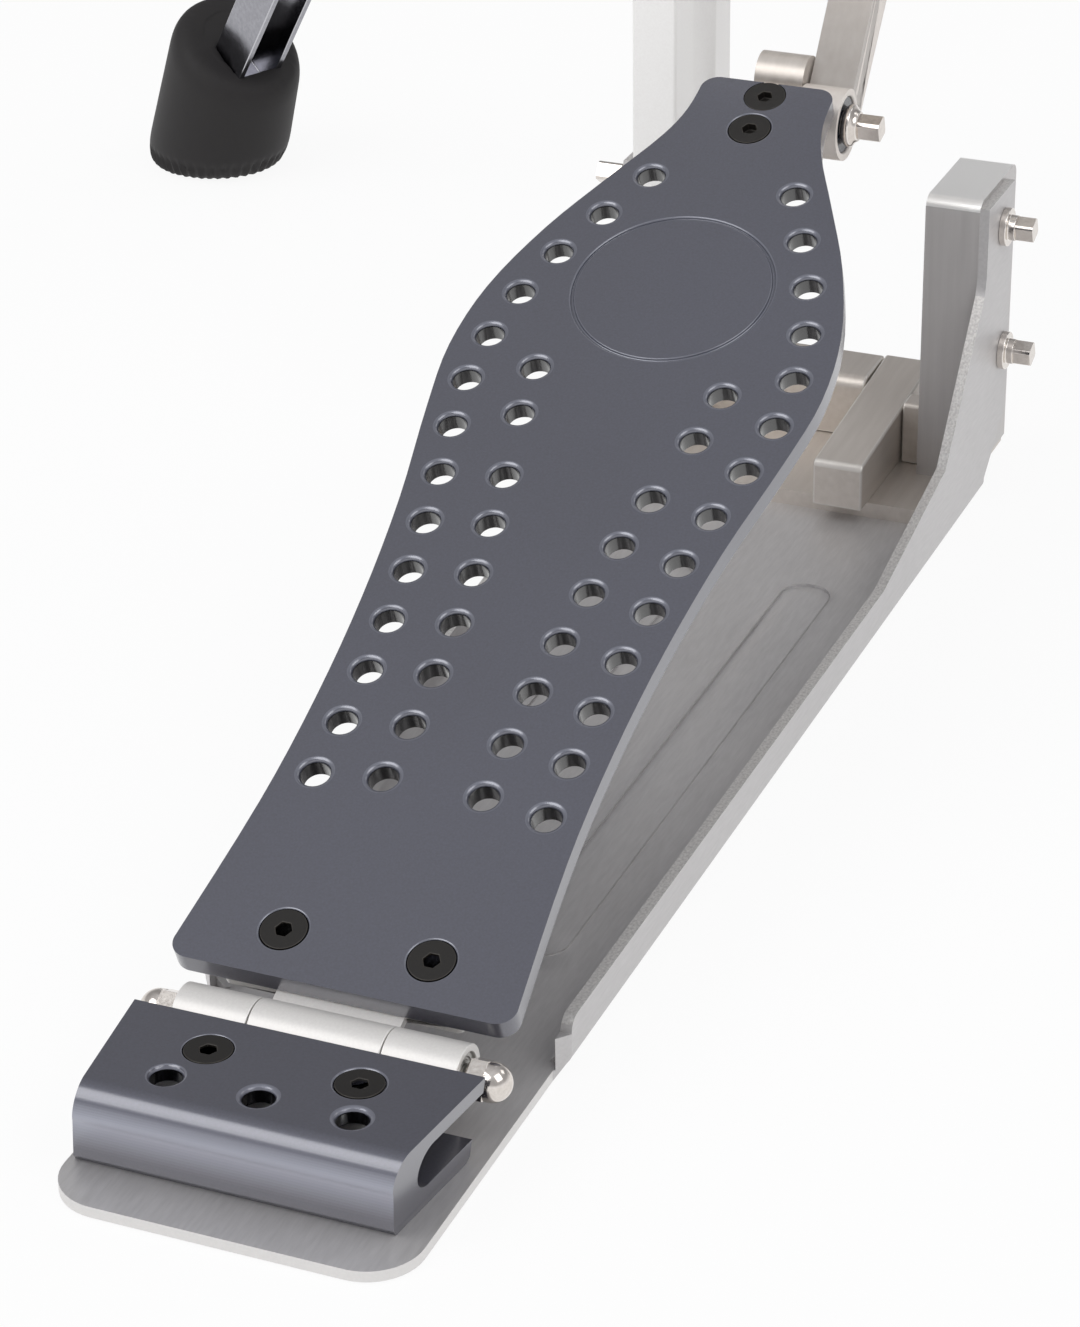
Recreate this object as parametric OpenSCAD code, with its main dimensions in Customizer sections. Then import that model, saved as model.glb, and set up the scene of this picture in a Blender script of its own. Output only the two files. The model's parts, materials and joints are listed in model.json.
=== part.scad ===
// Hi-hat stand with a long machined footboard, a direct drive link and two folding legs.
// Millimetres. X is across the footboard, Y runs from heel to toe, Z is up.
// The origin is on the floor, under the axis of the tube and pull rod.

/* [Base] */
// Thickness of the base sheet
sheet_t = 3; // [2.5:0.5:4]
// Half width of the base at the heel
heel_half_w = 46.5; // [44:0.5:48]
// Length of the base ahead of the hinge axis
heel_overhang = 60; // [56:1:64]
// Corner radius at the heel
heel_corner_r = 14; // [8:1:24]
// Height of the side flange above the floor
flange_h = 16; // [12:1:20]
// Size of the bend where the sides rise from the floor of the plate, seen from outside
bend_out = 5; // [4:0.5:6]
// Height of the ears above the floor
ear_h = 100; // [92:1:108]
// Distance from the centreline to the outside of the right flange
right_reach = 50; // [50:0.5:54]
// Distance from the centreline to the outside of the left ear
left_reach = 69.5; // [67:0.5:72]
// Width of each pressed rib
rib_w = 15; // [10:1:18]
// Distance from the centreline to the middle of each rib
rib_x = 22; // [19:0.5:24]

/* [Posts] */
// Width of the left post
post_w = 14.5; // [13:0.5:17]
// Depth of the left post, front to back
post_d = 50; // [44:1:54]
// Width of the right post
stub_w = 15.5; // [13:0.5:17]
// Depth of the right post
stub_d = 39; // [32:1:44]
// Front face of both posts, ahead of the tube axis
post_front = 24.5; // [22:0.5:27]
// Height of the top of the left post
post_top = 240; // [236:1:250]
// Thickness of the plate that ties the posts together
tie_t = 5; // [4:0.5:6]
// Size of the drum key heads, across their flats
key_af = 6; // [5:0.5:6.5]

/* [Footboard] */
// Distance from the hinge axis to the tube axis
hinge_reach = 401; // [395:1:410]
// Height of the hinge axis above the floor
hinge_h = 18.7; // [17.5:0.1:20]
// Resting tilt of the footboard
board_tilt = 22; // [20:0.5:24]
// Thickness of the footboard
board_t = 6; // [5:0.5:7]
// Length of the footboard
board_l = 333; // [327:1:339]
// Height of its top face above the hinge axis
board_rise = 7.4; // [7:0.1:9]
// Through hole in the footboard
hole_d = 7.8; // [6:0.2:8.4]
// Width of the chamfer round each hole
hole_chamfer = 0.8; // [0.4:0.1:1]
// Spacing of the holes along the board
hole_pitch = 17.8; // [17:0.1:18.2]
// Diameter of the round medallion recess
medallion_d = 57; // [50:1:60]
// Width of the engraved groove round the medallion
medallion_groove = 0.8; // [0.5:0.1:1.5]

/* [Hinge] */
// Outside diameter of the knuckles
knuckle_d = 16; // [15:0.5:16]
// Length of the whole barrel
barrel_l = 75; // [70:1:80]
// Length of the middle knuckle
mid_knuckle_l = 35; // [30:1:40]
// Diameter of the hinge pin
hinge_pin_d = 6; // [5:0.5:6]
// Outside diameter of the hinge bearings
hinge_bearing_d = 12; // [11:0.5:12.5]
// Top of the heel plate above the floor
heel_plate_h = 26; // [25:0.5:27]
// Thickness of its deck
deck_t = 4.5; // [3.6:0.1:5]

/* [Drive] */
// Distance from the toe pivot back to the tube axis
toe_reach = 74.5; // [72:0.5:78]
// Height of the toe pivot above the floor
toe_h = 140.8; // [138:0.1:143]
// Diameter of the toe pivot
toe_pin_d = 8; // [6:0.5:9]
// Outside diameter of the toe bearing
toe_bearing_d = 16.5; // [14:0.5:17]
// Outside diameter of the eye on the link
eye_d = 21; // [20:0.5:22]
// Width of the link, across the stand
link_w = 13.5; // [12:0.5:14]
// Depth of the link's arm
link_d = 12; // [10:0.5:13]
// Distance from the toe pivot to the upper eye
link_l = 100.5; // [98:0.5:102]
// Lean of the line through its two eyes
link_lean = 38.5; // [38:0.5:40]
// Free radius round the upper link pin
link_play = 4.4; // [4.2:0.1:5]
// Rocker axis behind the tube axis
rocker_back = 46; // [44:1:50]
// Height of the rocker axis
rocker_h = 192; // [190:1:196]
// Diameter of the rocker shaft
shaft_d = 10; // [8:1:10]
// Outside diameter of the rocker bearings
rocker_bearing_d = 19; // [18:0.5:20]
// Diameter of the pull rod
rod_d = 6; // [5:0.5:6.5]
// Stroke of the pull rod
rod_stroke = 28; // [24:1:30]

/* [Tubes] */
// Outside diameter of the lower tube
tube_d = 28.6; // [27:0.2:30]
// Wall of both tubes
tube_wall = 1.6; // [1.4:0.1:2]
// Top of the lower tube
tube_top = 620; // [600:5:660]
// Outside diameter of the upper tube
upper_d = 22; // [20:0.5:22.5]
// Top of the upper tube
upper_top = 830; // [810:5:850]
// Height of the top of the pull rod
rod_top = 1010; // [980:5:1040]
// Thickness of the bridge that carries the tube
bridge_t = 26; // [22:1:30]
// Outside diameter of the tension spring
spring_d = 21; // [18:0.5:22]
// Diameter of the spring wire
spring_wire = 2.2; // [1.8:0.1:2.4]
// Number of curls in the spring
spring_curls = 10; // [8:1:12]
// Diameter of the cymbal seat
seat_d = 44; // [40:1:50]
// Thickness of each felt
felt_t = 9; // [7:0.5:12]

/* [Legs] */
// Height of the lower leg pivots
leg_low_h = 303; // [301:1:307]
// Distance from each collar pivot to the middle joint of a leg
brace_l = 116; // [112:1:120]
// Resting angle between a leg and the tube
leg_spread = 34; // [33:0.5:35]
// Length of a leg from its upper pivot to the foot pivot
leg_l = 577; // [573:1:581]
// Direction of each leg, measured from straight back
leg_heading = 62; // [58:1:66]
// Distance from the tube axis to the leg pivots
leg_pivot_r = 28; // [27:0.5:30]
// Diameter of the leg pins
leg_pin_d = 6; // [5:0.5:6]
// Thickness of each leg strip
strip_t = 2.5; // [2:0.5:3]
// Width of each leg strip
strip_w = 17; // [14:1:18]
// Width of a rubber foot
foot_w = 50; // [46:1:56]
// Angle at which a rubber foot leans in towards the tube
foot_lean = 20; // [16:1:24]
// Length of a rubber foot above the end of its leg
foot_up = 38; // [32:1:44]

/* [Hidden] */
$fn = 48;
fit = 0.05;
play = 0.3;
eps = 0.01;

hinge_y = -hinge_reach;
base_front = hinge_y - heel_overhang;
flange_start = hinge_y + 35;
ear_back = 2.5;
post_inner_l = -(left_reach - sheet_t - post_w);
post_outer_l = -(left_reach - sheet_t);
stub_outer = right_reach - sheet_t;
stub_inner = stub_outer - stub_w;
tie_front = -50;
tie_top = sheet_t + tie_t;
knee_y = -61;
floor_back = 14;
upper_bolt = [-8, ear_h - 11.5];
lower_bolt = [-4, ear_h - 54.5];
rib_h = 1.4;

board_heel = 11.2;
board_toe = board_heel + board_l;
board_low = board_rise - board_t;
screw_head_d = 12;
screw_d = 6;
heel_screw_x = 19.7;
heel_screw_s = board_heel + 13.9;
toe_screw_s = [board_toe - 5.8, board_toe - 19.8];
medallion_s = board_toe - 86.6;
toe_y = -toe_reach;
toe_s = (toe_y - hinge_y) * cos(board_tilt) + (toe_h - hinge_h) * sin(board_tilt);
toe_up = (toe_h - hinge_h) * cos(board_tilt) - (toe_y - hinge_y) * sin(board_tilt);
eye_x = 20;
eye_in = eye_x - link_w;

link_y = toe_y + link_l * sin(link_lean);
link_z = toe_h + link_l * cos(link_lean);
link_pin_d = 6;
rocker_y = rocker_back;
rocker_in = [-13, 27.5];
rocker_plate_t = 6;
rod_swing = atan2(rod_stroke / 2, rocker_back);
rod_arm = rocker_back / cos(rod_swing);
rod_pin_z = rocker_h + rod_stroke / 2;
coupler_w = 10;
rod_low = rod_pin_z + 5;
coupler_top = rod_pin_z + 14;

bridge_low = post_top;
bridge_top = bridge_low + bridge_t;
cheek_t = 9;
tube_low = bridge_low + 8;
tube_bore = tube_d - 2 * tube_wall;
upper_bore = upper_d - 2 * tube_wall;
upper_low = tube_top - 110;
height_travel = 80;
knob_low = bridge_low - 9;
spring_low = bridge_low + 20;
spring_high = spring_low + 78;

joint_r = leg_pivot_r + brace_l * sin(leg_spread);
joint_z = leg_low_h + brace_l * cos(leg_spread);
leg_high_h = leg_low_h + 2 * brace_l * cos(leg_spread);
foot_r = leg_pivot_r + leg_l * sin(leg_spread);
foot_z = leg_high_h - leg_l * cos(leg_spread);
bend_in = bend_out - 2;
collar_h = 22;
collar_d = tube_d + 12;
ear_gap = 8;
strip_gap = ear_gap + 0.6;
slot_up = 3.2;
clamp_screw_y = -tube_d / 2 - 17.7;
fold = 18;

seat_z = upper_top + 19;
clutch_z = seat_z + 80;
rod_groove_z = clutch_z + 38;
seat_hinge_y = seat_d / 2 - 8;
tilt_screw_y = -upper_d / 2 - 8.5;

// A box from its low corner to its high corner
module box(low, high) {
    translate(low)
        cube(high - low);
}

// A bar of radius r along X between x0 and x1
module along_x(x0, x1, y, z, r) {
    translate([x0, y, z])
        rotate([0, 90, 0])
            cylinder(r = r, h = x1 - x0);
}

// A bar of radius r along Y between y0 and y1
module along_y(y0, y1, x, z, r) {
    translate([x, y0, z])
        rotate([-90, 0, 0])
            cylinder(r = r, h = y1 - y0);
}

// An upright cylinder between z0 and z1
module upright(z0, z1, r) {
    translate([0, 0, z0])
        cylinder(r = r, h = z1 - z0);
}

// An upright ring
module ring(z0, z1, r_out, r_in) {
    difference() {
        upright(z0, z1, r_out);
        upright(z0 - 1, z1 + 1, r_in);
    }
}

// A profile drawn in Y and Z, swept along X between x0 and x1
module across(x0, x1) {
    translate([x0, 0, 0])
        rotate([90, 0, 90])
            linear_extrude(x1 - x0)
                children();
}

// The frame of the footboard: X across, Y along it from the hinge axis, Z square to it
module on_board() {
    translate([0, hinge_y, hinge_h])
        rotate([board_tilt, 0, 0])
            children();
}

// The frame of a leg: X outwards from the tube axis, on the side given by 1 or -1
module on_leg(side) {
    rotate([0, 0, 90 - side * leg_heading])
        children();
}

// The chamfer round a hole whose rim lies at height z
module hole_rim(z) {
    translate([0, 0, z - hole_chamfer])
        cylinder(r1 = hole_d / 2, r2 = hole_d / 2 + hole_chamfer + eps, h = hole_chamfer + eps);
}

// A countersunk screw with its head's top face at z = 0, pointing down, with a hexagon socket
module flat_screw(length) {
    difference() {
        union() {
            translate([0, 0, -0.6])
                cylinder(d = screw_head_d, h = 0.6);
            translate([0, 0, -3.6])
                cylinder(d1 = screw_d, d2 = screw_head_d, h = 3);
            translate([0, 0, -length])
                cylinder(d = screw_d, h = length - 3.5);
        }
        translate([0, 0, -2.4])
            cylinder(d = 4.6, h = 3, $fn = 6);
    }
}

// The seat for such a screw, through a plate
module flat_screw_seat(depth) {
    translate([0, 0, -0.7])
        cylinder(d = screw_head_d + 2 * fit + 0.3, h = 2);
    translate([0, 0, -3.75])
        cylinder(d1 = screw_d + 0.4, d2 = screw_head_d + 0.4, h = 3.06);
    translate([0, 0, -depth])
        cylinder(d = screw_d + 0.4, h = depth);
}

// A socket head screw along -Z with its head's underside at z = 0
module cap_screw(d, length) {
    difference() {
        union() {
            cylinder(d = 1.6 * d, h = 0.8 * d);
            translate([0, 0, -length])
                cylinder(d = d, h = length + eps);
        }
        translate([0, 0, 0.4 * d])
            cylinder(d = 0.9 * d, h = d, $fn = 6);
    }
}

// A drum key bolt along -X: square head outwards, collar at x = 0, shaft of the given length
module key_bolt(length) {
    along_x(0, 2.2, 0, 0, key_af);
    along_x(2.2 - eps, 4.4, 0, 0, key_af * 0.66);
    difference() {
        along_x(4, 10, 0, 0, key_af * 0.62);
        for (a = [0:90:270])
            rotate([a, 0, 0])
                translate([4.4, key_af / 2, -key_af])
                    cube([8, key_af, 2 * key_af]);
    }
    along_x(-length, eps, 0, 0, 3);
}

// A wing screw along -X: hub from x = 0 outwards, two wings, shaft of the given length
module wing_screw(length, shaft_d) {
    along_x(0, 11, 0, 0, 6.5);
    for (side = [-1, 1])
        rotate([side * 90 - 90, 0, 0])
            translate([5.5, 13, 2])
                rotate([90, 0, 90])
                    linear_extrude(4.5, center = true)
                        union() {
                            circle(r = 8.5);
                            translate([-9, -6])
                                square([9, 12]);
                        }
    along_x(-length, eps, 0, 0, shaft_d / 2);
}

// The space above the sides: they start low, climb at the knee and end in the ears
module air_above_sides() {
    difference() {
        polygon([
            [base_front - 9, ear_h + 9], [base_front - 9, flange_h - 4], [flange_start + 4, flange_h - 4],
            [flange_start + 4, flange_h], [knee_y - 60, flange_h], [knee_y, flange_h + 13],
            [-26, ear_h - 28], [-post_front, ear_h - 22], [-post_front, ear_h], [60, ear_h],
            [60, ear_h + 9]
        ]);
        translate([flange_start + 4, flange_h - 4])
            circle(r = 4);
    }
}

// The space behind and below the ears
module air_behind_ears() {
    polygon([
        [-18, -1], [-18, 7], [-5, flange_h + 1], [-4, flange_h + 4], [ear_back, flange_h + 6],
        [ear_back, ear_h + 9], [60, ear_h + 9], [60, -1]
    ]);
}

module pressed_rib(x, y0, y1) {
    translate([x, 0, sheet_t - eps])
        linear_extrude(rib_h) {
            translate([-rib_w / 2, y0])
                square([rib_w, y1 - y0]);
            translate([0, y0])
                circle(d = rib_w);
            translate([0, y1])
                circle(d = rib_w);
        }
}

slant = (left_reach - right_reach) / (knee_y - flange_start);
slant_a = atan(slant);
module base_outline() {
    for (s = [-1, 1])
        translate([s * (heel_half_w - heel_corner_r), base_front + heel_corner_r])
            circle(r = heel_corner_r, $fn = 96);
    translate([-(heel_half_w - heel_corner_r), base_front])
        square([2 * (heel_half_w - heel_corner_r), heel_corner_r + 1]);
    polygon([
        [-heel_half_w, base_front + heel_corner_r], [heel_half_w, base_front + heel_corner_r],
        [heel_half_w, flange_start - 4], [right_reach, flange_start], [right_reach, ear_back + 5],
        [right_reach - 6, ear_back + 5], [right_reach - 9, floor_back], [-(left_reach - 9), floor_back],
        [-(left_reach - 6), ear_back + 5], [-left_reach, ear_back + 5], [-left_reach, knee_y],
        [-right_reach, flange_start], [-heel_half_w, flange_start - 4]
    ]);
}

// The inside of the pan, one sheet thickness within the sides
module pan_inside() {
    start_x = right_reach - sheet_t / cos(slant_a);
    knee_in = flange_start + (left_reach - sheet_t - start_x) / slant;
    polygon([
        [stub_outer, base_front - 9], [stub_outer, 60], [post_outer_l, 60], [post_outer_l, knee_in],
        [-start_x, flange_start], [-start_x, base_front - 9]
    ]);
}

// A long wedge along +Y that fills a lower right corner up to a slope at 45 degrees
module corner_wedge(size, y0, y1) {
    translate([0, y0, 0])
        rotate([0, 45, 0])
            translate([-size * sqrt(0.5), 0, -3 * size])
                cube([4 * size, y1 - y0, 6 * size]);
}

// Places such a wedge along the right side, the slanted left side and the left ear
module along_sides(inset) {
    translate([right_reach - inset, flange_start, inset])
        children();
    translate([-(right_reach - inset / cos(slant_a)), flange_start, inset])
        rotate([0, 0, slant_a])
            mirror([1, 0, 0])
                children();
    translate([-(left_reach - inset), flange_start, inset])
        mirror([1, 0, 0])
            children();
}

module base_plate() {
    color("#b8b9ba") {
        difference() {
            linear_extrude(ear_h + 1)
                base_outline();
            difference() {
                translate([0, 0, sheet_t])
                    linear_extrude(ear_h + 9)
                        pan_inside();
                along_sides(sheet_t)
                    corner_wedge(bend_in, 0, 400);
            }
            across(-left_reach - 9, right_reach + 9)
                air_above_sides();
            across(right_reach - 6, right_reach + 9)
                air_behind_ears();
            across(-left_reach - 9, -left_reach + 6)
                air_behind_ears();
            ear_holes();
            for (x = [-24, 0, 24])
                translate([x, heel_hole_y, 0])
                    upright(-1, sheet_t + 1, 2.6);
            along_sides(0)
                corner_wedge(bend_out, -1, 400);
        }
        for (s = [-1, 1])
            pressed_rib(s * rib_x, hinge_y + 84, hinge_y + 291);
    }
}

module ear_holes() {
    for (p = [upper_bolt, lower_bolt])
        along_x(-left_reach - 10, right_reach + 10, p[0], p[1], 3.15);
}

module tie_plate() {
    color("#c2bdb6")
        difference() {
            box([post_outer_l + 1.1, tie_front, sheet_t],
                [stub_outer - 1.1, post_d - post_front, tie_top]);
            post_foot_places()
                translate([0, 0, sheet_t])
                    mirror([0, 0, 1])
                        flat_screw_seat(tie_t + 1);
            mirror_cut = [post_outer_l + post_w + 6, stub_inner - 6];
            box([mirror_cut[0], 16, 0], [mirror_cut[1], post_d, 20]);
            along_sides(sheet_t)
                corner_wedge(bend_in + play, 0, 400);
        }
}

// Where the screws rise through the tie plate into the posts
module post_foot_places() {
    for (y = [-post_front + 10, post_d - post_front - 12])
        translate([post_outer_l + post_w / 2, y, 0])
            children();
    for (y = [-post_front + 10, stub_d - post_front - 10])
        translate([stub_outer - stub_w / 2, y, 0])
            children();
}

module post_foot_screws() {
    color("#3b3c3e")
        post_foot_places()
            translate([0, 0, sheet_t])
                mirror([0, 0, 1])
                    flat_screw(16);
}

module rear_bridge() {
    color("#cfc9c1")
        across(post_inner_l, 5.6) {
            translate([-5, tie_top])
                square([21, 16 - 4]);
            translate([-1, tie_top])
                square([17, 16]);
            translate([-1, tie_top + 12])
                circle(r = 4);
        }
}

module spacer_bar() {
    color("#c6c1ba")
        across(6, 22)
            polygon([[-57, tie_top], [-57, tie_top + 9], [-56, tie_top + 10.2], [16, tie_top + 16],
                [16, tie_top]]);
}

module stop_block() {
    color("#aaa69f")
        across(22.4, stub_inner - 0.4) {
            translate([-18, tie_top])
                square([9, 16]);
            translate([-16.5, tie_top + 15])
                square([6, 2.5]);
            for (y = [-16.5, -10.5])
                translate([y, tie_top + 16])
                    circle(r = 1.5);
        }
}

module left_post() {
    z_mid = tie_top + 100;
    color("#d3d0cc")
        difference() {
            box([post_outer_l, -post_front, tie_top], [post_inner_l, post_d - post_front, post_top]);
            translate([post_inner_l + 12, 1, 0])
                upright(z_mid, post_top - 12, 16);
            for (p = [upper_bolt, lower_bolt])
                along_x(post_outer_l - 1, post_outer_l + 12, p[0], p[1], 3.1);
            post_foot_places()
                upright(0, tie_top + 14, 3.1);
            bridge_screw_places()
                upright(post_top - 18, post_top + 1, 3.1);
        }
}

module right_post() {
    round_r = 4;
    color("#9b9da0")
        difference() {
            across(stub_inner, stub_outer) {
                translate([-post_front, tie_top])
                    square([stub_d, ear_h - tie_top - round_r]);
                translate([-post_front + round_r, tie_top])
                    square([stub_d - 2 * round_r, ear_h - tie_top]);
                for (y = [-post_front + round_r, stub_d - post_front - round_r])
                    translate([y, ear_h - round_r])
                        circle(r = round_r);
            }
            for (p = [upper_bolt, lower_bolt])
                along_x(stub_outer - 12, stub_outer + 1, p[0], p[1], 3.1);
            post_foot_places()
                upright(0, tie_top + 14, 3.1);
        }
}

module post_bolts() {
    color("#d8d3cc")
        for (p = [upper_bolt, lower_bolt]) {
            translate([right_reach, p[0], p[1]])
                rotate([20, 0, 0])
                    key_bolt(14);
            translate([-left_reach, p[0], p[1]])
                mirror([1, 0, 0])
                    rotate([-35, 0, 0])
                        key_bolt(14);
        }
}

// Side view of the heel plate: a deck, a rounded nose and a foot, open at the back
deck_back = hinge_y - 8.5;
deck_low = heel_plate_h - deck_t;
nose_y = base_front + 11.6;
foot_top = sheet_t + 6.4;
cavity_r = (deck_low - foot_top) / 2;
module heel_profile() {
    nose_r = 6.5;
    difference() {
        union() {
            polygon([
                [deck_back, heel_plate_h], [nose_y + nose_r, heel_plate_h],
                [nose_y, heel_plate_h - nose_r], [nose_y + 3, sheet_t + 2], [nose_y + 4.5, sheet_t],
                [deck_back - 4, sheet_t], [deck_back - 2.5, sheet_t + 1.5], [deck_back - 2.5, foot_top],
                [deck_back, deck_low]
            ]);
            translate([nose_y + nose_r, heel_plate_h - nose_r])
                circle(r = nose_r);
        }
        translate([nose_y + 11.5 + cavity_r, foot_top])
            square([60, 2 * cavity_r]);
        translate([nose_y + 11.5 + cavity_r, foot_top + cavity_r])
            circle(r = cavity_r);
    }
}

// The end faces come in towards the front and lean over to the left, as cut from one long section
module heel_end_cut(lean) {
    translate([heel_half_w - 0.5, deck_back, heel_plate_h])
        rotate([0, lean, -7])
            translate([0, -80, -80])
                cube([60, 160, 160]);
}

heel_screw_y = hinge_y - 21.4;
heel_hole_y = hinge_y - 34.8;
module heel_plate() {
    color("#585862")
        difference() {
            across(-heel_half_w, heel_half_w)
                heel_profile();
            heel_end_cut(8);
            mirror([1, 0, 0])
                heel_end_cut(-8);
            for (s = [-1, 1])
                translate([s * heel_screw_x, heel_screw_y, heel_plate_h])
                    flat_screw_seat(deck_t + 1);
            for (x = [-24, 0, 24])
                translate([x, heel_hole_y, 0]) {
                    upright(foot_top + 1, heel_plate_h + 1, hole_d / 2);
                    hole_rim(heel_plate_h);
                    upright(sheet_t - 1, foot_top + 1, 2.6);
                    upright(foot_top, deck_low, 4.6);
                }
        }
}

module heel_plate_screws() {
    color("#2b2a28")
        for (s = [-1, 1])
            translate([s * heel_screw_x, heel_screw_y, heel_plate_h])
                flat_screw(11);
}

module heel_foot_screws() {
    color("#3b3c3e")
        for (x = [-24, 0, 24])
            translate([x, heel_hole_y, foot_top])
                cap_screw(5, foot_top - 0.2);
}

// Three knuckles share the barrel; the pin runs in bearings at both ends
module knuckle_bores(x0, x1) {
    along_x(x0 - 1, x1 + 1, hinge_y, hinge_h, hinge_pin_d / 2 + fit);
}

module hinge_base_leaf() {
    leaf_top = deck_low;
    leaf_low = deck_low - 5.5;
    color("#d0cecb")
        difference() {
            union() {
                box([-barrel_l / 2, deck_back - 21, leaf_low], [barrel_l / 2, deck_back - 1, leaf_top]);
                for (s = [-1, 1]) {
                    x0 = s > 0 ? mid_knuckle_l / 2 + 0.3 : -barrel_l / 2;
                    x1 = s > 0 ? barrel_l / 2 : -mid_knuckle_l / 2 - 0.3;
                    along_x(x0, x1, hinge_y, hinge_h, knuckle_d / 2);
                    box([x0, deck_back - 2, leaf_low], [x1, hinge_y, leaf_top - 0.5]);
                }
            }
            knuckle_bores(-barrel_l / 2, barrel_l / 2);
            for (s = [-1, 1])
                translate([s * (barrel_l / 2 - 2.5), 0, 0])
                    along_x(-2.6, 2.6, hinge_y, hinge_h, hinge_bearing_d / 2 + fit);
            for (s = [-1, 1])
                translate([s * heel_screw_x, heel_screw_y, 0])
                    upright(0, leaf_top + 1, screw_d / 2 + 0.1);
        }
}

module hinge_bearings() {
    color("#4c4b49")
        for (s = [-1, 1])
            translate([s * (barrel_l / 2 - 2.9), 0, 0])
                difference() {
                    along_x(-2.1, 2.1, hinge_y, hinge_h, hinge_bearing_d / 2);
                    along_x(-4, 4, hinge_y, hinge_h, hinge_pin_d / 2 + fit / 2);
                    for (e = [-1, 1])
                        translate([e * 2.1, hinge_y, hinge_h])
                            rotate([0, 90, 0])
                                rotate_extrude()
                                    translate([4.3, 0])
                                        circle(r = 0.5, $fn = 16);
                }
}

module hinge_pin() {
    color("#8d8c8a")
        along_x(-barrel_l / 2 - 7, barrel_l / 2 + 7, hinge_y, hinge_h, hinge_pin_d / 2);
}

// A hexagon nut with a domed cap on each end of the pin
module hinge_dome_nuts() {
    color("#d9d5cf")
        for (s = [-1, 1])
            translate([s * (barrel_l / 2 + 0.6), hinge_y, hinge_h])
                rotate([0, s * 90, 0])
                    difference() {
                        union() {
                            cylinder(d = 9, h = 0.8);
                            translate([0, 0, 0.7])
                                cylinder(d = 11.2, h = 4.3, $fn = 6);
                            translate([0, 0, 4.9])
                                cylinder(d = 9.9, h = 1.2);
                            translate([0, 0, 6])
                                intersection() {
                                    sphere(d = 9.9);
                                    cylinder(d = 20, h = 20);
                                }
                        }
                        translate([0, 0, -1])
                            cylinder(r = hinge_pin_d / 2 + 0.06, h = 7.6);
                    }
}

module leaf_outline(half, l, r) {
    for (s = [-1, 1])
        translate([s * (half - r), r])
            circle(r = r);
    translate([-(half - r), 0])
        square([2 * (half - r), r + 1]);
    translate([-half, r])
        square([2 * half, l - r]);
}

module hinge_board_knuckle() {
    leaf_t = 2.3;
    leaf_half = 32;
    pad_t = 6;
    color("#d0cecb")
        difference() {
            union() {
                along_x(-mid_knuckle_l / 2, mid_knuckle_l / 2, hinge_y, hinge_h, knuckle_d / 2);
                on_board() {
                    box([0.5 - mid_knuckle_l / 2, 0, board_low - leaf_t + 0.05],
                        [mid_knuckle_l / 2 - 0.5, board_heel + 4, board_low]);
                    translate([0, board_heel + 0.5, board_low - leaf_t])
                        linear_extrude(leaf_t)
                            leaf_outline(leaf_half, 29.5, 2);
                    box([0.5 - leaf_half, board_heel + 5, board_low - pad_t],
                        [leaf_half - 0.5, board_heel + 29.5, board_low - 0.2]);
                }
            }
            knuckle_bores(-mid_knuckle_l / 2, mid_knuckle_l / 2);
            on_board()
                for (s = [-1, 1])
                    translate([s * heel_screw_x, heel_screw_s, board_low - 7])
                        cylinder(r = screw_d / 2 + 0.1, h = 8);
        }
}

// Half width of the footboard at points along it from the heel, chosen from the photograph
outline = [
    [0, 46], [50, 41.7], [85, 41], [120, 42.4], [155, 45.9], [190, 51.6], [213, 54.2], [237, 52],
    [263, 44], [287, 33], [306, 24], [318, 20.6], [333, 20]
];
outline_l = 333;

// Smooth value of the outline in span i at t from 0 to 1, with end slopes shared by neighbours
function slope(i) =
    i == 0 ? (outline[1][1] - outline[0][1]) / (outline[1][0] - outline[0][0])
    : i == len(outline) - 1 ? 0
    : (outline[i + 1][1] - outline[i - 1][1]) / (outline[i + 1][0] - outline[i - 1][0]);
function half_w(i, t) =
    let (l = outline[i + 1][0] - outline[i][0])
    outline[i][1] * (2 * pow(t, 3) - 3 * t * t + 1)
    + outline[i + 1][1] * (3 * t * t - 2 * pow(t, 3))
    + l * slope(i) * (pow(t, 3) - 2 * t * t + t)
    + l * slope(i + 1) * (pow(t, 3) - t * t);
function edge_points() = [
    for (i = [0:len(outline) - 2])
        for (t = [0:0.25:0.75])
            let (s = outline[i][0] + t * (outline[i + 1][0] - outline[i][0]))
            [half_w(i, t), board_heel + s * board_l / outline_l]
];

module board_outline() {
    corner = 5;
    side = [for (p = edge_points()) if (p[1] > board_heel + corner && p[1] < board_toe - corner) p];
    heel_w = outline[0][1] - 0.4;
    toe_w = outline[len(outline) - 1][1];
    right = concat([[heel_w, board_heel + corner]], side, [[toe_w, board_toe - corner]]);
    left = [for (i = [len(right) - 1:-1:0]) [-right[i][0], right[i][1]]];
    polygon(concat(right, left));
    for (s = [-1, 1]) {
        translate([s * (heel_w - corner), board_heel + corner])
            circle(r = corner);
        translate([s * (toe_w - corner), board_toe - corner])
            circle(r = corner);
    }
    translate([-(heel_w - corner), board_heel])
        square([2 * (heel_w - corner), corner + 1]);
    translate([-(toe_w - corner), board_toe - corner - 1])
        square([2 * (toe_w - corner), corner + 1]);
}

// Half spacings of the two rows of holes on each side, from the toe towards the heel
outer_rows = [21.6, 29.5, 36.9, 41.9, 44.4, 44.6, 42, 38.7, 36, 33.9, 32.4, 31.4, 31.2, 31.5];
inner_rows = [27.2, 25.2, 20.9, 18.3, 16.2, 14.7, 13.8, 13.4, 13.7];
first_hole_s = board_toe - 44;
hole_step = hole_pitch * 0.982;

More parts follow.
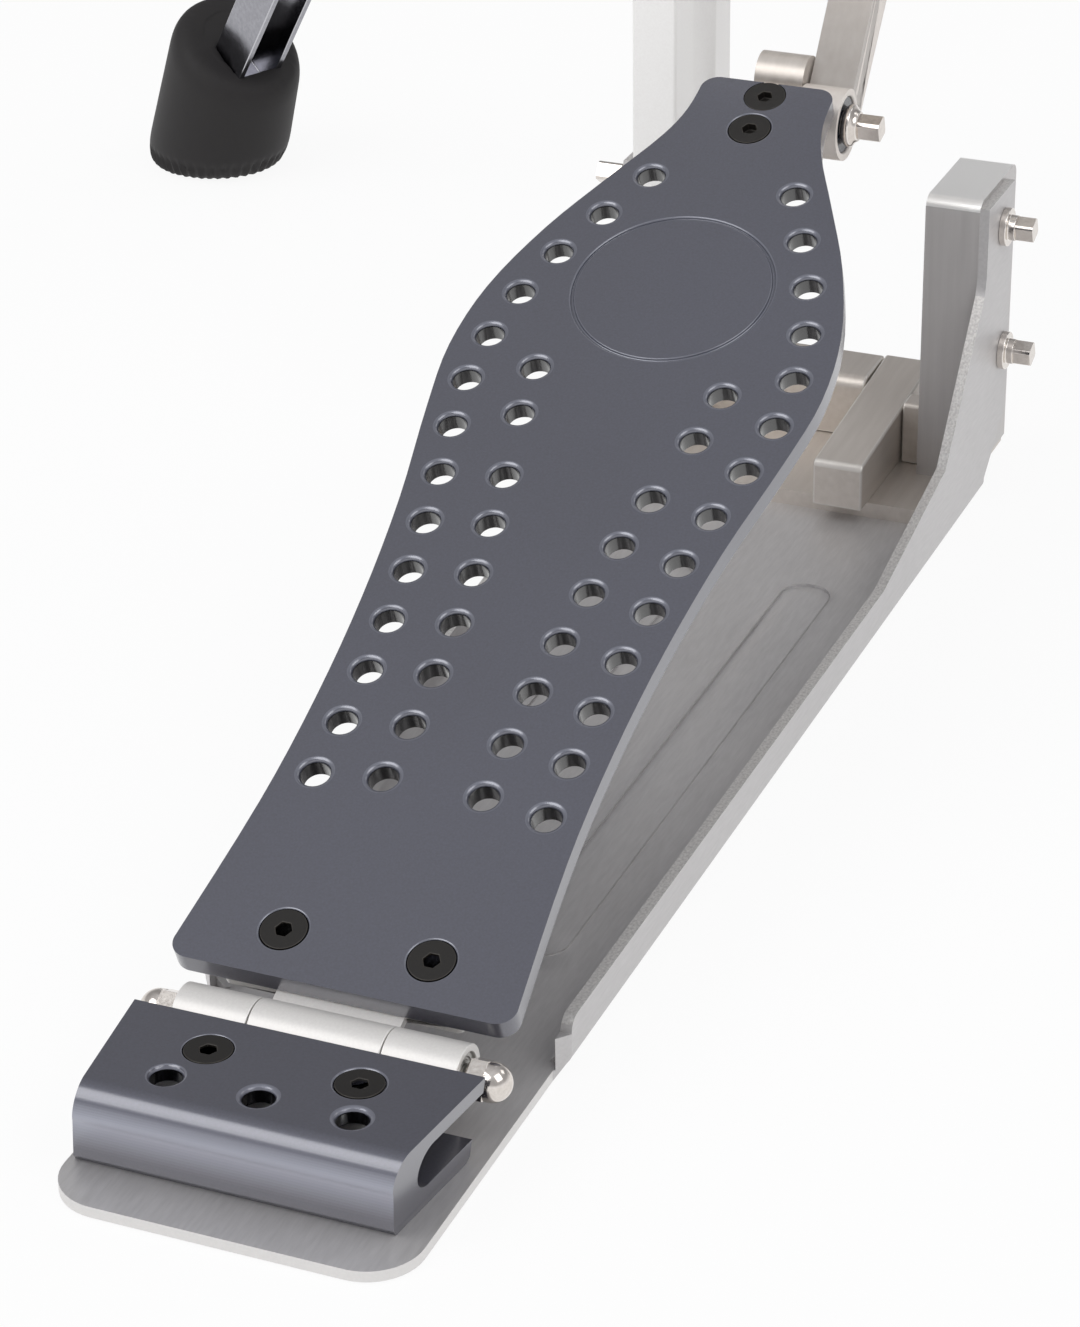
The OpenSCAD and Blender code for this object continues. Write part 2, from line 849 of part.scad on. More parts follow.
module board_holes() {
    for (s = [-1, 1]) {
        for (i = [0:len(outer_rows) - 1])
            translate([s * outer_rows[i], first_hole_s - i * hole_step])
                children();
        for (i = [0:len(inner_rows) - 1]) {
            back = i < 2 ? i + 4.55 : i + 4.85;
            translate([s * inner_rows[i], first_hole_s - back * hole_step])
                children();
        }
    }
}

module footboard() {
    color("#585862")
        on_board()
            difference() {
                translate([0, 0, board_low])
                    linear_extrude(board_t)
                        board_outline();
                board_holes() {
                    translate([0, 0, board_low - 1])
                        cylinder(d = hole_d, h = board_t + 2);
                    hole_rim(board_rise);
                }
                for (s = [-1, 1])
                    translate([s * heel_screw_x, heel_screw_s, board_rise])
                        flat_screw_seat(board_t + 1);
                for (s = toe_screw_s)
                    translate([0, s, board_rise])
                        flat_screw_seat(board_t + 1);
                translate([0, medallion_s, board_rise - 0.7])
                    difference() {
                        cylinder(d = medallion_d, h = 2, $fn = 96);
                        translate([0, 0, -1])
                            cylinder(d = medallion_d - 2 * medallion_groove, h = 4, $fn = 96);
                    }
            }
}

module board_heel_screws() {
    color("#2b2a28")
        on_board()
            for (s = [-1, 1])
                translate([s * heel_screw_x, heel_screw_s, board_rise])
                    flat_screw(11);
}

// Bracket under the toe: a block, a boss for the pivot and an upright nose behind the toe
bracket_half = eye_in - play - 0.3;
module toe_bracket() {
    nose_s = board_toe + 14.8;
    nose_r = 7;
    color("#cfc8c1")
        difference() {
            on_board() {
                box([-15, board_toe - 30, board_low - 9], [bracket_half, board_toe - 3, board_low]);
                across(-9, bracket_half) {
                    polygon([
                        [board_toe - 8, board_low - 9], [board_toe - 4, board_low],
                        [board_toe + 2, board_low - 0.4], [nose_s - nose_r, -nose_r],
                        [nose_s + nose_r, -nose_r], [toe_s + 8, toe_up - 9], [toe_s - 4, toe_up - 9.5]
                    ]);
                    translate([nose_s, -3])
                        circle(r = nose_r);
                    translate([nose_s - nose_r, -9])
                        square([2 * nose_r, 6]);
                    translate([toe_s, toe_up])
                        circle(r = 9.6);
                }
            }
            along_x(-20, 20, toe_y, toe_h, toe_pin_d / 2 + fit);
            on_board()
                for (s = toe_screw_s)
                    translate([0, s, board_low - 20])
                        cylinder(r = screw_d / 2 + 0.1, h = 21);
        }
}

module toe_screws() {
    color("#2b2a28")
        on_board()
            for (s = toe_screw_s)
                translate([0, s, board_rise])
                    flat_screw(12);
}

// Pivot bolt through the toe bracket and the link's bearing, with a square head on the right
module toe_bolt() {
    color("#d8d0c8") {
        along_x(-10.5, eye_x, toe_y, toe_h, toe_pin_d / 2);
        translate([eye_x - 0.2, toe_y, toe_h])
            rotate([0, 90, 0])
                rotate_extrude()
                    polygon([[0, 0], [5.6, 0], [6.2, 1], [6.2, 2.2], [5, 3], [4.2, 4.2], [0, 4.2]]);
        translate([eye_x + 0.6, toe_y, toe_h])
            rotate([16, 0, 0])
                difference() {
                    along_x(2, 10, 0, 0, key_af * 0.62);
                    for (a = [0:90:270])
                        rotate([a, 0, 0])
                            translate([3.4, key_af / 2, -key_af])
                                cube([8, key_af, 2 * key_af]);
                }
        along_x(-15, -9.4, toe_y, toe_h, 6.2);
    }
}

module toe_bearing() {
    color("#26282c")
        difference() {
            along_x(eye_x - 6, eye_x - 0.7, toe_y, toe_h, toe_bearing_d / 2);
            along_x(0, 40, toe_y, toe_h, toe_pin_d / 2 + fit);
        }
}

// The link: a bearing eye at the toe, a flat arm and an upper eye with free play
module drive_link() {
    arm_shift = link_d / 2 - 1.4;
    up = [sin(link_lean), cos(link_lean)];
    back = [cos(link_lean), -sin(link_lean)];
    front = arm_shift - link_d / 2;
    rear = arm_shift + link_d / 2;
    upper_r = link_pin_d / 2 + link_play + 3.6;
    at = function (a, b) [toe_y, toe_h] + a * up + b * back;
    color("#d8d1c9")
        difference() {
            across(eye_in, eye_x) {
                translate([toe_y, toe_h])
                    circle(d = eye_d);
                polygon([
                    at(0, eye_d / 2), at(0, -eye_d / 2 + 0.2), at(7, -6), at(10, front),
                    at(link_l - 6, front - 3), at(link_l, -upper_r + 0.2), at(link_l, upper_r - 0.2),
                    at(link_l - 8, rear), at(8, rear)
                ]);
                translate([link_y, link_z])
                    circle(r = upper_r);
            }
            along_x(eye_x - 6.2, eye_x + 1, toe_y, toe_h, toe_bearing_d / 2 + fit);
            along_x(0, 40, toe_y, toe_h, toe_pin_d / 2 + 0.6);
            along_x(0, 40, link_y, link_z, link_pin_d / 2 + link_play);
        }
}

// Rocker: a hub on the shaft, one arm for the link and one arm for the pull rod
module rocker_arm(x0, x1, y, z, end_r) {
    hub = [rocker_y, rocker_h];
    reach = norm([y, z] - hub);
    across(x0, x1) {
        translate([y, z])
            circle(r = end_r);
        translate(hub)
            rotate(atan2(z - rocker_h, y - rocker_y))
                polygon([[0, -10], [0, 10], [reach, end_r], [reach, -end_r]]);
    }
}

module rocker() {
    color("#cfcbc6")
        difference() {
            union() {
                along_x(rocker_in[0], rocker_in[1], rocker_y, rocker_h, rocker_bearing_d / 2 + 3);
                rocker_arm(rocker_in[0], rocker_in[0] + rocker_plate_t, 0, rod_pin_z, 6.5);
                rocker_arm(rocker_in[1] - rocker_plate_t, rocker_in[1], link_y, link_z, 7);
            }
            along_x(-40, 60, rocker_y, rocker_h, shaft_d / 2 + 1);
            for (x = [rocker_in[0] - 1, rocker_in[1] - 6])
                along_x(x, x + 7, rocker_y, rocker_h, rocker_bearing_d / 2 + fit);
            along_x(-40, rocker_in[0] + rocker_plate_t + 1, 0, rod_pin_z, link_pin_d / 2 + fit);
            along_x(rocker_in[1] - rocker_plate_t - 1, 60, link_y, link_z, link_pin_d / 2 + fit);
        }
}

module rocker_bearings() {
    color("#5b5a58")
        for (x = [rocker_in[0], rocker_in[1] - 6])
            difference() {
                along_x(x, x + 6, rocker_y, rocker_h, rocker_bearing_d / 2);
                along_x(-40, 60, rocker_y, rocker_h, shaft_d / 2 + fit);
            }
}

module rocker_shaft() {
    x0 = rocker_in[0] - 1 - cheek_t;
    x1 = rocker_in[1] + 1 + cheek_t;
    color("#8d8c8a") {
        along_x(x0 - eps, x1 + eps, rocker_y, rocker_h, shaft_d / 2);
        along_x(x1, x1 + 3, rocker_y, rocker_h, shaft_d / 2 + 2.5);
        along_x(x0 - 3, x0, rocker_y, rocker_h, shaft_d / 2 + 2.5);
    }
}

module rocker_pins() {
    color("#8d8c8a") {
        along_x(rocker_in[0] - eps, coupler_w / 2 + 0.6, 0, rod_pin_z, link_pin_d / 2);
        along_x(rocker_in[0] - 2.5, rocker_in[0], 0, rod_pin_z, link_pin_d / 2 + 2);
        along_x(eye_in, rocker_in[1] + eps, link_y, link_z, link_pin_d / 2);
        along_x(rocker_in[1], rocker_in[1] + 2.5, link_y, link_z, link_pin_d / 2 + 2);
    }
}

// Coupler on the bottom of the pull rod, with a slot for the rocker's pin
module rod_coupler() {
    swing = rod_arm - rocker_back;
    slot_r = link_pin_d / 2 + play;
    color("#b9b5b0")
        difference() {
            union() {
                box([-coupler_w / 2, -swing - 9, rod_pin_z - 8], [coupler_w / 2, 9, rod_pin_z + 9]);
                upright(rod_pin_z + 8, coupler_top, eye_in - 0.5);
            }
            along_x(-10, 10, 0.3, rod_pin_z, slot_r);
            along_x(-10, 10, -swing - 0.3, rod_pin_z, slot_r);
            box([-10, -swing - 0.3, rod_pin_z - slot_r], [10, 0.3, rod_pin_z + slot_r]);
            upright(rod_low, coupler_top + 1, rod_d / 2 + fit);
        }
}

// The pull rod, with a turned groove that marks its free end above the clutch
module pull_rod() {
    color("#cfccc8") {
        difference() {
            upright(rod_low, rod_top - 1, rod_d / 2);
            ring(rod_groove_z - 1, rod_groove_z + 1, rod_d, rod_d / 2 - 0.4);
        }
        translate([0, 0, rod_top - 1 - eps])
            cylinder(d1 = rod_d, d2 = rod_d - 2, h = 1);
    }
}

module spring_collar() {
    color("#8d8c8a")
        ring(spring_high + 0.3, spring_high + 9, tube_bore / 2 - 1, rod_d / 2 + fit);
}

// Compression spring round the pull rod, swept as one tube with flat rings at both ends
spring_mid_r = (spring_d - spring_wire) / 2;
spring_rise = spring_high - spring_low - spring_wire;
spring_rings = 8 * spring_curls + 1;
function spring_point(i) =
    let (u = i / 8, a = 360 * u, ends = min(1, min(u, spring_curls - u)))
    [spring_mid_r * cos(a), spring_mid_r * sin(a),
        spring_low + spring_wire / 2 + spring_rise * u / spring_curls];
function spring_ring(i) =
    let (a = 45 * i, climb = atan2(spring_rise / spring_curls, 2 * PI * spring_mid_r),
        out = [cos(a), sin(a), 0],
        up = [sin(a) * sin(climb), -cos(a) * sin(climb), cos(climb)])
    [for (k = [0:5]) spring_point(i) + spring_wire / 2 * (cos(60 * k) * out + sin(60 * k) * up)];
spring_gap = min([for (i = [0:spring_rings - 9])
    norm(spring_point(i + 8) - spring_point(i))]) - spring_wire;
echo(spring_gap = spring_gap);

module tension_spring() {
    points = [for (i = [0:spring_rings - 1]) each spring_ring(i)];
    walls = [
        for (i = [0:spring_rings - 2])
            for (k = [0:5])
                let (a = 6 * i + k, b = 6 * i + (k + 1) % 6)
                each [[a, b, b + 6], [a, b + 6, a + 6]]
    ];
    last = 6 * (spring_rings - 1);
    low_cap = [for (k = [1:4]) [0, k + 1, k]];
    high_cap = [for (k = [1:4]) [last, last + k, last + k + 1]];
    color("#b0b0b0")
        polyhedron(points, [for (f = concat(walls, low_cap, high_cap)) [f[2], f[1], f[0]]]);
}

// Knurled knob under the bridge, with a sleeve that carries the spring
module tension_knob() {
    color("#c9c6c2")
        difference() {
            union() {
                ring(knob_low, bridge_low - 0.4, 14, rod_d / 2 + 0.6);
                ring(bridge_low - 0.5, spring_low - 0.3, 8, rod_d / 2 + 0.6);
                ring(spring_low - 4, spring_low - 0.3, tube_bore / 2 - 1, rod_d / 2 + 0.6);
            }
            for (a = [0:15:345])
                rotate([0, 0, a])
                    translate([14.3, 0, knob_low - 1])
                        cylinder(r = 0.9, h = 20, $fn = 16);
        }
}

// Bridge from the left post to the tube, with two cheeks for the rocker shaft
module bridge_screw_places() {
    for (y = [-post_front + 10, post_d - post_front - 10])
        translate([post_outer_l + post_w / 2, y, 0])
            children();
}

module bridge_outline() {
    translate([post_outer_l, -post_front])
        square([post_w + 2, post_d]);
    polygon([
        [post_outer_l + post_w, -post_front], [-4, -20.5], [10, -20], [rocker_in[1] + 1 + cheek_t, 10],
        [rocker_in[1] + 1 + cheek_t, rocker_y + 8], [rocker_in[0] - 1 - cheek_t, rocker_y + 8],
        [post_outer_l + post_w, post_d - post_front]
    ]);
    circle(r = tube_d / 2 + 7);
}

module cheek(x0) {
    across(x0, x0 + cheek_t) {
        translate([rocker_y, rocker_h])
            circle(r = shaft_d / 2 + 6);
        polygon([
            [rocker_y - shaft_d / 2 - 6, rocker_h], [rocker_y + shaft_d / 2 + 6, rocker_h],
            [rocker_y + 8, bridge_low + 1], [rocker_y - 22, bridge_low + 1]
        ]);
    }
}

module top_bridge() {
    color("#cfccc8")
        difference() {
            union() {
                translate([0, 0, bridge_low])
                    linear_extrude(bridge_t)
                        bridge_outline();
                cheek(rocker_in[0] - 1 - cheek_t);
                cheek(rocker_in[1] + 1);
            }
            upright(tube_low, bridge_top + 1, tube_d / 2 + fit);
            upright(bridge_low - 1, tube_low + 1, 8 + fit + 0.05);
            along_x(-60, 60, rocker_y, rocker_h, shaft_d / 2 + fit);
            bridge_screw_places() {
                upright(bridge_low - 1, bridge_top + 1, 3.2);
                upright(bridge_top - 7, bridge_top + 1, 5.4);
            }
        }
}

module bridge_screws() {
    color("#3b3c3e")
        bridge_screw_places()
            translate([0, 0, bridge_top - 7])
                cap_screw(6, bridge_t + 8);
}

module lower_tube() {
    color("#d4d2cf")
        ring(tube_low, tube_top, tube_d / 2, tube_bore / 2);
}

// A collar round the tube with two pairs of ears for the legs, slotted when slot is above 0
module leg_collar(z, slot) {
    difference() {
        union() {
            ring(z - collar_h / 2, z + collar_h / 2 + slot, collar_d / 2, tube_d / 2 + 0.1);
            for (side = [-1, 1])
                on_leg(side)
                    for (y = [-ear_gap / 2 - 3, ear_gap / 2])
                        box([tube_d / 2 + 3, y, z - 8], [leg_pivot_r + 7, y + 3, z + 8 + slot]);
        }
        for (side = [-1, 1])
            on_leg(side) {
                along_y(-20, 20, leg_pivot_r, z, leg_pin_d / 2 + fit);
                if (slot > 0) {
                    along_y(-20, 20, leg_pivot_r, z + slot, leg_pin_d / 2 + fit);
                    box([leg_pivot_r - leg_pin_d / 2 - fit, -20, z],
                        [leg_pivot_r + leg_pin_d / 2 + fit, 20, z + slot]);
                }
            }
        upright(z - 60, z + 80, tube_d / 2 + 0.1);
    }
}

module lower_collar() {
    color("#3a3b3e")
        leg_collar(leg_low_h, 0);
}

module lower_collar_pins() {
    half = ear_gap / 2 + 3;
    color("#9a9a9a")
        for (side = [-1, 1])
            on_leg(side)
                translate([leg_pivot_r, 0, leg_low_h]) {
                    along_y(-half - 0.2, half + 0.2, 0, 0, leg_pin_d / 2);
                    for (s = [0, 1])
                        mirror([0, s, 0])
                            along_y(half + 0.1, half + 2.4, 0, 0, 5);
                }
}

module upper_collar() {
    color("#3a3b3e")
        difference() {
            union() {
                leg_collar(leg_high_h, slot_up);
                rotate([0, 0, -90])
                    difference() {
                        along_x(tube_d / 2 + 3, tube_d / 2 + 14, 0, leg_high_h + 5, 7);
                        upright(leg_high_h - 60, leg_high_h + 80, tube_d / 2 + 0.1);
                    }
            }
            rotate([0, 0, -90])
                along_x(0, 60, 0, leg_high_h + 5, 3.1);
        }
}

module upper_collar_screw() {
    color("#d8d3cc")
        rotate([0, 0, -90])
            translate([tube_d / 2 + 14.3, 0, leg_high_h + 5])
                wing_screw(14, 6);
}

// A strut from the lower collar up to the middle joint of a leg
module strut(side) {
    w = ear_gap - 0.8;
    color("#d4d2cf")
        on_leg(side)
            translate([leg_pivot_r, 0, leg_low_h])
                rotate([0, leg_spread, 0])
                    strut_bar(w);
}

module strut_bar(w) {
    difference() {
        union() {
            for (z = [0, brace_l])
                translate([0, -w / 2, z])
                    rotate([-90, 0, 0])
                        cylinder(r = 6.5, h = w);
            box([-4.5, -w / 2, 0], [4.5, w / 2, brace_l]);
        }
        for (z = [0, brace_l])
            along_y(-20, 20, 0, z, leg_pin_d / 2 + fit);
    }
}

module left_strut() {
    strut(-1);
}

module right_strut() {
    strut(1);
}

// The frame of a leg's own line: origin at its upper pivot, Z down the leg
module down_leg(side) {
    on_leg(side)
        translate([leg_pivot_r, 0, leg_high_h])
            rotate([0, 180 - leg_spread, 0])
                children();
}

// A leg of two parallel strips, with spacers, that ends in a plug for its foot
module leg(side) {
    color("#cfcfd0")
        down_leg(side)
            difference() {
                union() {
                    for (y = [-strip_gap / 2 - 3 - strip_t, strip_gap / 2 + 3]) {
                        box([-strip_w / 2, y, 0], [strip_w / 2, y + strip_t, leg_l - 4]);
                        along_y(y, y + strip_t, 0, 0, strip_w / 2);
                    }
                    for (z = [brace_l + 60, leg_l - 140])
                        along_y(-strip_gap / 2 - 3.5, strip_gap / 2 + 3.5, 0, z, 4.5);
                    box([-strip_w / 2, -strip_gap / 2 - 3.5, leg_l - 28],
                        [strip_w / 2, strip_gap / 2 + 3.5, leg_l - 4]);
                }
                for (z = [0, brace_l])
                    along_y(-30, 30, 0, z, leg_pin_d / 2 + fit);
            }
}

module left_leg() {
    leg(-1);
}

module right_leg() {
    leg(1);
}

module leg_pin(r_head) {
    half = strip_gap / 2 + 3 + strip_t;
    along_y(-half - 0.2, half + 0.2, 0, 0, leg_pin_d / 2);
    for (s = [0, 1])
        mirror([0, s, 0])
            along_y(half + 0.1, half + 2.4, 0, 0, r_head);
}

// Rivets through the strips: one at the collar, one at the strut
module leg_pins(side) {
    color("#9a9a9a")
        down_leg(side) {
            leg_pin(5);
            translate([0, 0, brace_l])
                leg_pin(5);
        }
}

module left_leg_pins() {
    leg_pins(-1);
}

module right_leg_pins() {
    leg_pins(1);
}

// A rubber foot: a leaning, tapered boot with a flat tread, a sloping top and a socket for the leg
module foot(side) {
    half_w_leg = strip_gap / 2 + 3 + strip_t;
    color("#2a2a2b")
        difference() {
            intersection() {
                on_leg(side)
                    translate([foot_r + 4.3, 0, 0])
                        rotate([0, -foot_lean, 0])
                            translate([0, 0, -foot_w / 2])
                                cylinder(r1 = foot_w / 2, r2 = foot_w / 2 - 4, h = 2.5 * foot_w);
                down_leg(side)
                    box([-2 * foot_w, -foot_w, leg_l - foot_up], [2 * foot_w, foot_w, leg_l + 2 * foot_w]);
                translate([-leg_l, -leg_l, 0])
                    cube([2 * leg_l, 2 * leg_l, leg_l]);
            }
            down_leg(side)
                box([-strip_w / 2 - 0.1, -half_w_leg - 0.1, leg_l - 3 * foot_w / 2],
                    [strip_w / 2 + 0.1, half_w_leg + 0.1, leg_l - 3.9]);
        }
}

module left_foot() {
    foot(-1);
}

module right_foot() {
    foot(1);
}

// Clamp on top of the lower tube, split at the front, closed by a wing screw
module tube_clamp() {
    z0 = tube_top - 26;
    z1 = tube_top + 16;
    color("#3a3b3e")
        difference() {
            union() {
                upright(z0, z1, tube_d / 2 + 4);
                box([0, clamp_screw_y - 6, z0 + 8], [13, 0, z1 - 8]);
                box([-13, clamp_screw_y - 6, z0 + 8], [0, 0, z1 - 8]);
            }
            upright(z0 - 1, tube_top + 0.3, tube_d / 2 + fit);
            upright(tube_top, z1 + 1, upper_d / 2 + fit);
            box([-1, clamp_screw_y - 10, z0 - 1], [1, 0, z1 + 1]);
            along_x(-40, 40, clamp_screw_y, tube_top - 5, 3.1);
        }
}

module tube_clamp_screw() {
    color("#d8d3cc")
        translate([13.3, clamp_screw_y, tube_top - 5])
            wing_screw(30, 6);
}

module upper_tube() {
    color("#d8d7d4") {
        ring(upper_low, upper_top, upper_d / 2, upper_bore / 2);
        ring(upper_low, upper_low + 14, tube_bore / 2 - 0.2, upper_d / 2 - 0.2);
    }
}

module memory_lock() {
    z0 = tube_top + 16.3 + height_travel;
    color("#cfccc8")
        difference() {
            union() {
                upright(z0, z0 + 14, upper_d / 2 + 5);
                along_x(upper_d / 2 + 3, upper_d / 2 + 9, 0, z0 + 7, 5);
                translate([upper_d / 2 + 9, 0, z0 + 7])
                    difference() {
                        along_x(-eps, 7, 0, 0, key_af * 0.62);
                        for (a = [0:90:270])
                            rotate([a, 0, 0])
                                translate([1, key_af / 2, -key_af])
                                    cube([8, key_af, 2 * key_af]);
                    }
            }
            upright(z0 - 1, z0 + 15, upper_d / 2 + fit);
        }
}

// Seat for the lower cymbal: a base on the tube, a cup that tips on it and a felt
module seat_base() {
    color("#3a3b3e")
        difference() {
            union() {
                upright(upper_top - 22, upper_top + 6, upper_d / 2 + 4);
                upright(upper_top + 4, upper_top + 8, seat_d / 2 - 5);
                along_x(-9, 9, seat_hinge_y, upper_top + 9.5, 4.5);
                box([-4.5, tilt_screw_y - 4.5, upper_top + 4], [4.5, 0, upper_top + 8]);
            }
            upright(upper_top - 30, upper_top, upper_d / 2 + fit);
            upright(upper_top - 2, upper_top + 30, rod_d / 2 + 1.4);
            along_x(-3.4, 3.4, seat_hinge_y, upper_top + 9.5, 5.6);
            along_x(-20, 20, seat_hinge_y, upper_top + 9.5, 1.55);
            translate([0, tilt_screw_y, 0])
                upright(upper_top, upper_top + 20, 2.05);
        }
}

module seat_cup() {
    color("#3a3b3e")
        difference() {
            union() {
                upright(seat_z - 4, seat_z, seat_d / 2);
                upright(seat_z - 0.1, seat_z + felt_t + 4, rod_d / 2 + 3.6);
                box([-3, seat_hinge_y - 3, upper_top + 8.5], [3, seat_hinge_y + 3, seat_z - 3]);
                along_x(-3, 3, seat_hinge_y, upper_top + 9.5, 4);
            }
            upright(seat_z - 10, seat_z + 40, rod_d / 2 + 2);
            along_x(-20, 20, seat_hinge_y, upper_top + 9.5, 1.5 + fit);
        }
    color("#8d8c8a")
        along_x(-9, 9, seat_hinge_y, upper_top + 9.5, 1.5);
}

module seat_tilt_screw() {
    color("#d8d3cc")
        translate([0, tilt_screw_y, 0]) {
            upright(upper_top - 9, seat_z - 4.3, 2);
            upright(upper_top - 9, upper_top - 1, 4);
        }
}

module seat_felt() {
    color("#6d6a66")
        ring(seat_z, seat_z + felt_t, seat_d / 2 - 4, rod_d / 2 + 3.7);
}

// Clutch that holds the upper cymbal: a body clamped to the rod, two felts and a nut
module clutch_body() {
    color("#d8d3cc")
        difference() {
            union() {
                upright(clutch_z, clutch_z + 34, 8);
                upright(clutch_z - 34, clutch_z + 1, 5);
                upright(clutch_z - 3, clutch_z + 1, 14);
            }
            upright(clutch_z - 40, clutch_z + 40, rod_d / 2 + fit);
            along_x(0, 40, 0, clutch_z + 24, 3.1);
        }
}

module clutch_screw() {
    color("#d8d3cc")
        translate([8.3, 0, clutch_z + 24])
            wing_screw(4.9, 6);
}

module clutch_felts() {
    color("#6d6a66")
        for (z = [clutch_z - 3 - felt_t, clutch_z - 8 - 2 * felt_t])
            ring(z, z + felt_t, 15, 5.1);
}

module clutch_nut() {
    z1 = clutch_z - 8 - 2 * felt_t;
    color("#d8d3cc")
        difference() {
            ring(z1 - 7, z1, 12, 5.1);
            for (a = [0:30:330])
                rotate([0, 0, a])
                    translate([12.6, 0, z1 - 8])
                        cylinder(r = 1.6, h = 9, $fn = 16);
        }
}

base_plate();
tie_plate();
rear_bridge();
spacer_bar();
stop_block();
left_post();
right_post();
post_bolts();
post_foot_screws();
heel_plate();
heel_plate_screws();
heel_foot_screws();
hinge_base_leaf();
hinge_pin();
hinge_bearings();
hinge_dome_nuts();
hinge_board_knuckle();
footboard();
board_heel_screws();
toe_bracket();
toe_screws();
toe_bolt();
drive_link();
toe_bearing();
rocker();
rocker_shaft();
rocker_bearings();
rocker_pins();
rod_coupler();
pull_rod();
spring_collar();
tension_spring();
tension_knob();
top_bridge();
bridge_screws();
lower_tube();
lower_collar();
lower_collar_pins();
upper_collar();
upper_collar_screw();
left_strut();
right_strut();
left_leg();
right_leg();
left_leg_pins();
right_leg_pins();
left_foot();
right_foot();
tube_clamp();
tube_clamp_screw();
upper_tube();
memory_lock();
seat_base();
seat_cup();
seat_tilt_screw();
seat_felt();
clutch_body();
clutch_screw();
clutch_felts();
clutch_nut();
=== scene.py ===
import json
import math
import bmesh
import bpy
from mathutils import Matrix, Vector, noise

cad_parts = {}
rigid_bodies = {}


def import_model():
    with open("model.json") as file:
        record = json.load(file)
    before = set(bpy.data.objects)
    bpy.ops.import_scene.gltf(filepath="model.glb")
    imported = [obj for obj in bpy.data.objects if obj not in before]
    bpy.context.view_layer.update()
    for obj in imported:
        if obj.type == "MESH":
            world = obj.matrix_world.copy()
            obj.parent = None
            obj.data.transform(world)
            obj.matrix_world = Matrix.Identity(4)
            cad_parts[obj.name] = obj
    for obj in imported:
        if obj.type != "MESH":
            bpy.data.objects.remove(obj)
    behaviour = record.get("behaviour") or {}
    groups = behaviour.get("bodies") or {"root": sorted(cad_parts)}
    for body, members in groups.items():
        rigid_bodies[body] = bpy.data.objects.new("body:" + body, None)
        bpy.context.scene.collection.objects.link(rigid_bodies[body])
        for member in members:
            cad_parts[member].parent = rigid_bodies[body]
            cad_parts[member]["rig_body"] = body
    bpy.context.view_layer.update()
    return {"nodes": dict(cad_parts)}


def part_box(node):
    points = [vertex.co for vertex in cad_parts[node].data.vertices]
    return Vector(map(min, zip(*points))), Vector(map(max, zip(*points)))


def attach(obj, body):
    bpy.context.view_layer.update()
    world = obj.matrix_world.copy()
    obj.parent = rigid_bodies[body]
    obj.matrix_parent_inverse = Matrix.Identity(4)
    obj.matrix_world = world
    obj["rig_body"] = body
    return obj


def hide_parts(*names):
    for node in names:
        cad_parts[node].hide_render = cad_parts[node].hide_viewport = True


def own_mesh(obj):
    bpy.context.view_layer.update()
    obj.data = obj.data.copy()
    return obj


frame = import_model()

MM = 0.001
NODE_BODY = {n: o["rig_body"] for n, o in frame["nodes"].items()}

# The camera of the photograph: its place and its three axes in metres, its lens in millimetres
CAMERA_AT = (0.35395, -1.10615, 0.54281)
CAMERA_RIGHT = (0.92455, 0.38084, -0.01295)
CAMERA_UP = (-0.16918, 0.44069, 0.88157)
CAMERA_BACK = (0.34145, -0.81287, 0.47187)
CAMERA_LENS, CAMERA_SENSOR = 106.48, 36

# The dome's levels by height, with 0 straight down and 1 straight up, and its strength from front to rear
DOME_BELOW, DOME_ABOVE = (0.92, 0.92, 0.93, 1), (0.62, 0.63, 0.65, 1)
DOME_STOPS = ((0.5, 0.95), (0.56, 0.90), (0.64, 0.46), (0.80, 0.42))
DOME_FRONT, DOME_REAR = 1.1, 0.68

# The floor: half its side in metres, its grey under the lamps, and how white it shows
FLOOR_HALF, FLOOR_GREY, FLOOR_WHITE = 7, 0.82, 0.92


# Camera, floor and light
def look():
    data = bpy.data.cameras.new("camera")
    data.lens = CAMERA_LENS
    data.sensor_width = CAMERA_SENSOR
    data.clip_start = 0.01
    camera = bpy.data.objects.new("camera", data)
    bpy.context.scene.collection.objects.link(camera)
    turn = Matrix((CAMERA_RIGHT, CAMERA_UP, CAMERA_BACK)).transposed().to_4x4()
    camera.matrix_world = Matrix.Translation(CAMERA_AT) @ turn
    bpy.context.scene.camera = camera
    bpy.context.scene.view_settings.view_transform = "Standard"


def softbox(name, place, aim, size, power):
    data = bpy.data.lights.new(name, "AREA")
    data.shape = "RECTANGLE"
    data.size, data.size_y = size
    data.energy = power
    light = bpy.data.objects.new(name, data)
    bpy.context.scene.collection.objects.link(light)
    light.location = place
    light.rotation_euler = (Vector(aim) - Vector(place)).to_track_quat("-Z", "Y").to_euler()


def link(tree, source, target):
    tree.links.new(source, target)


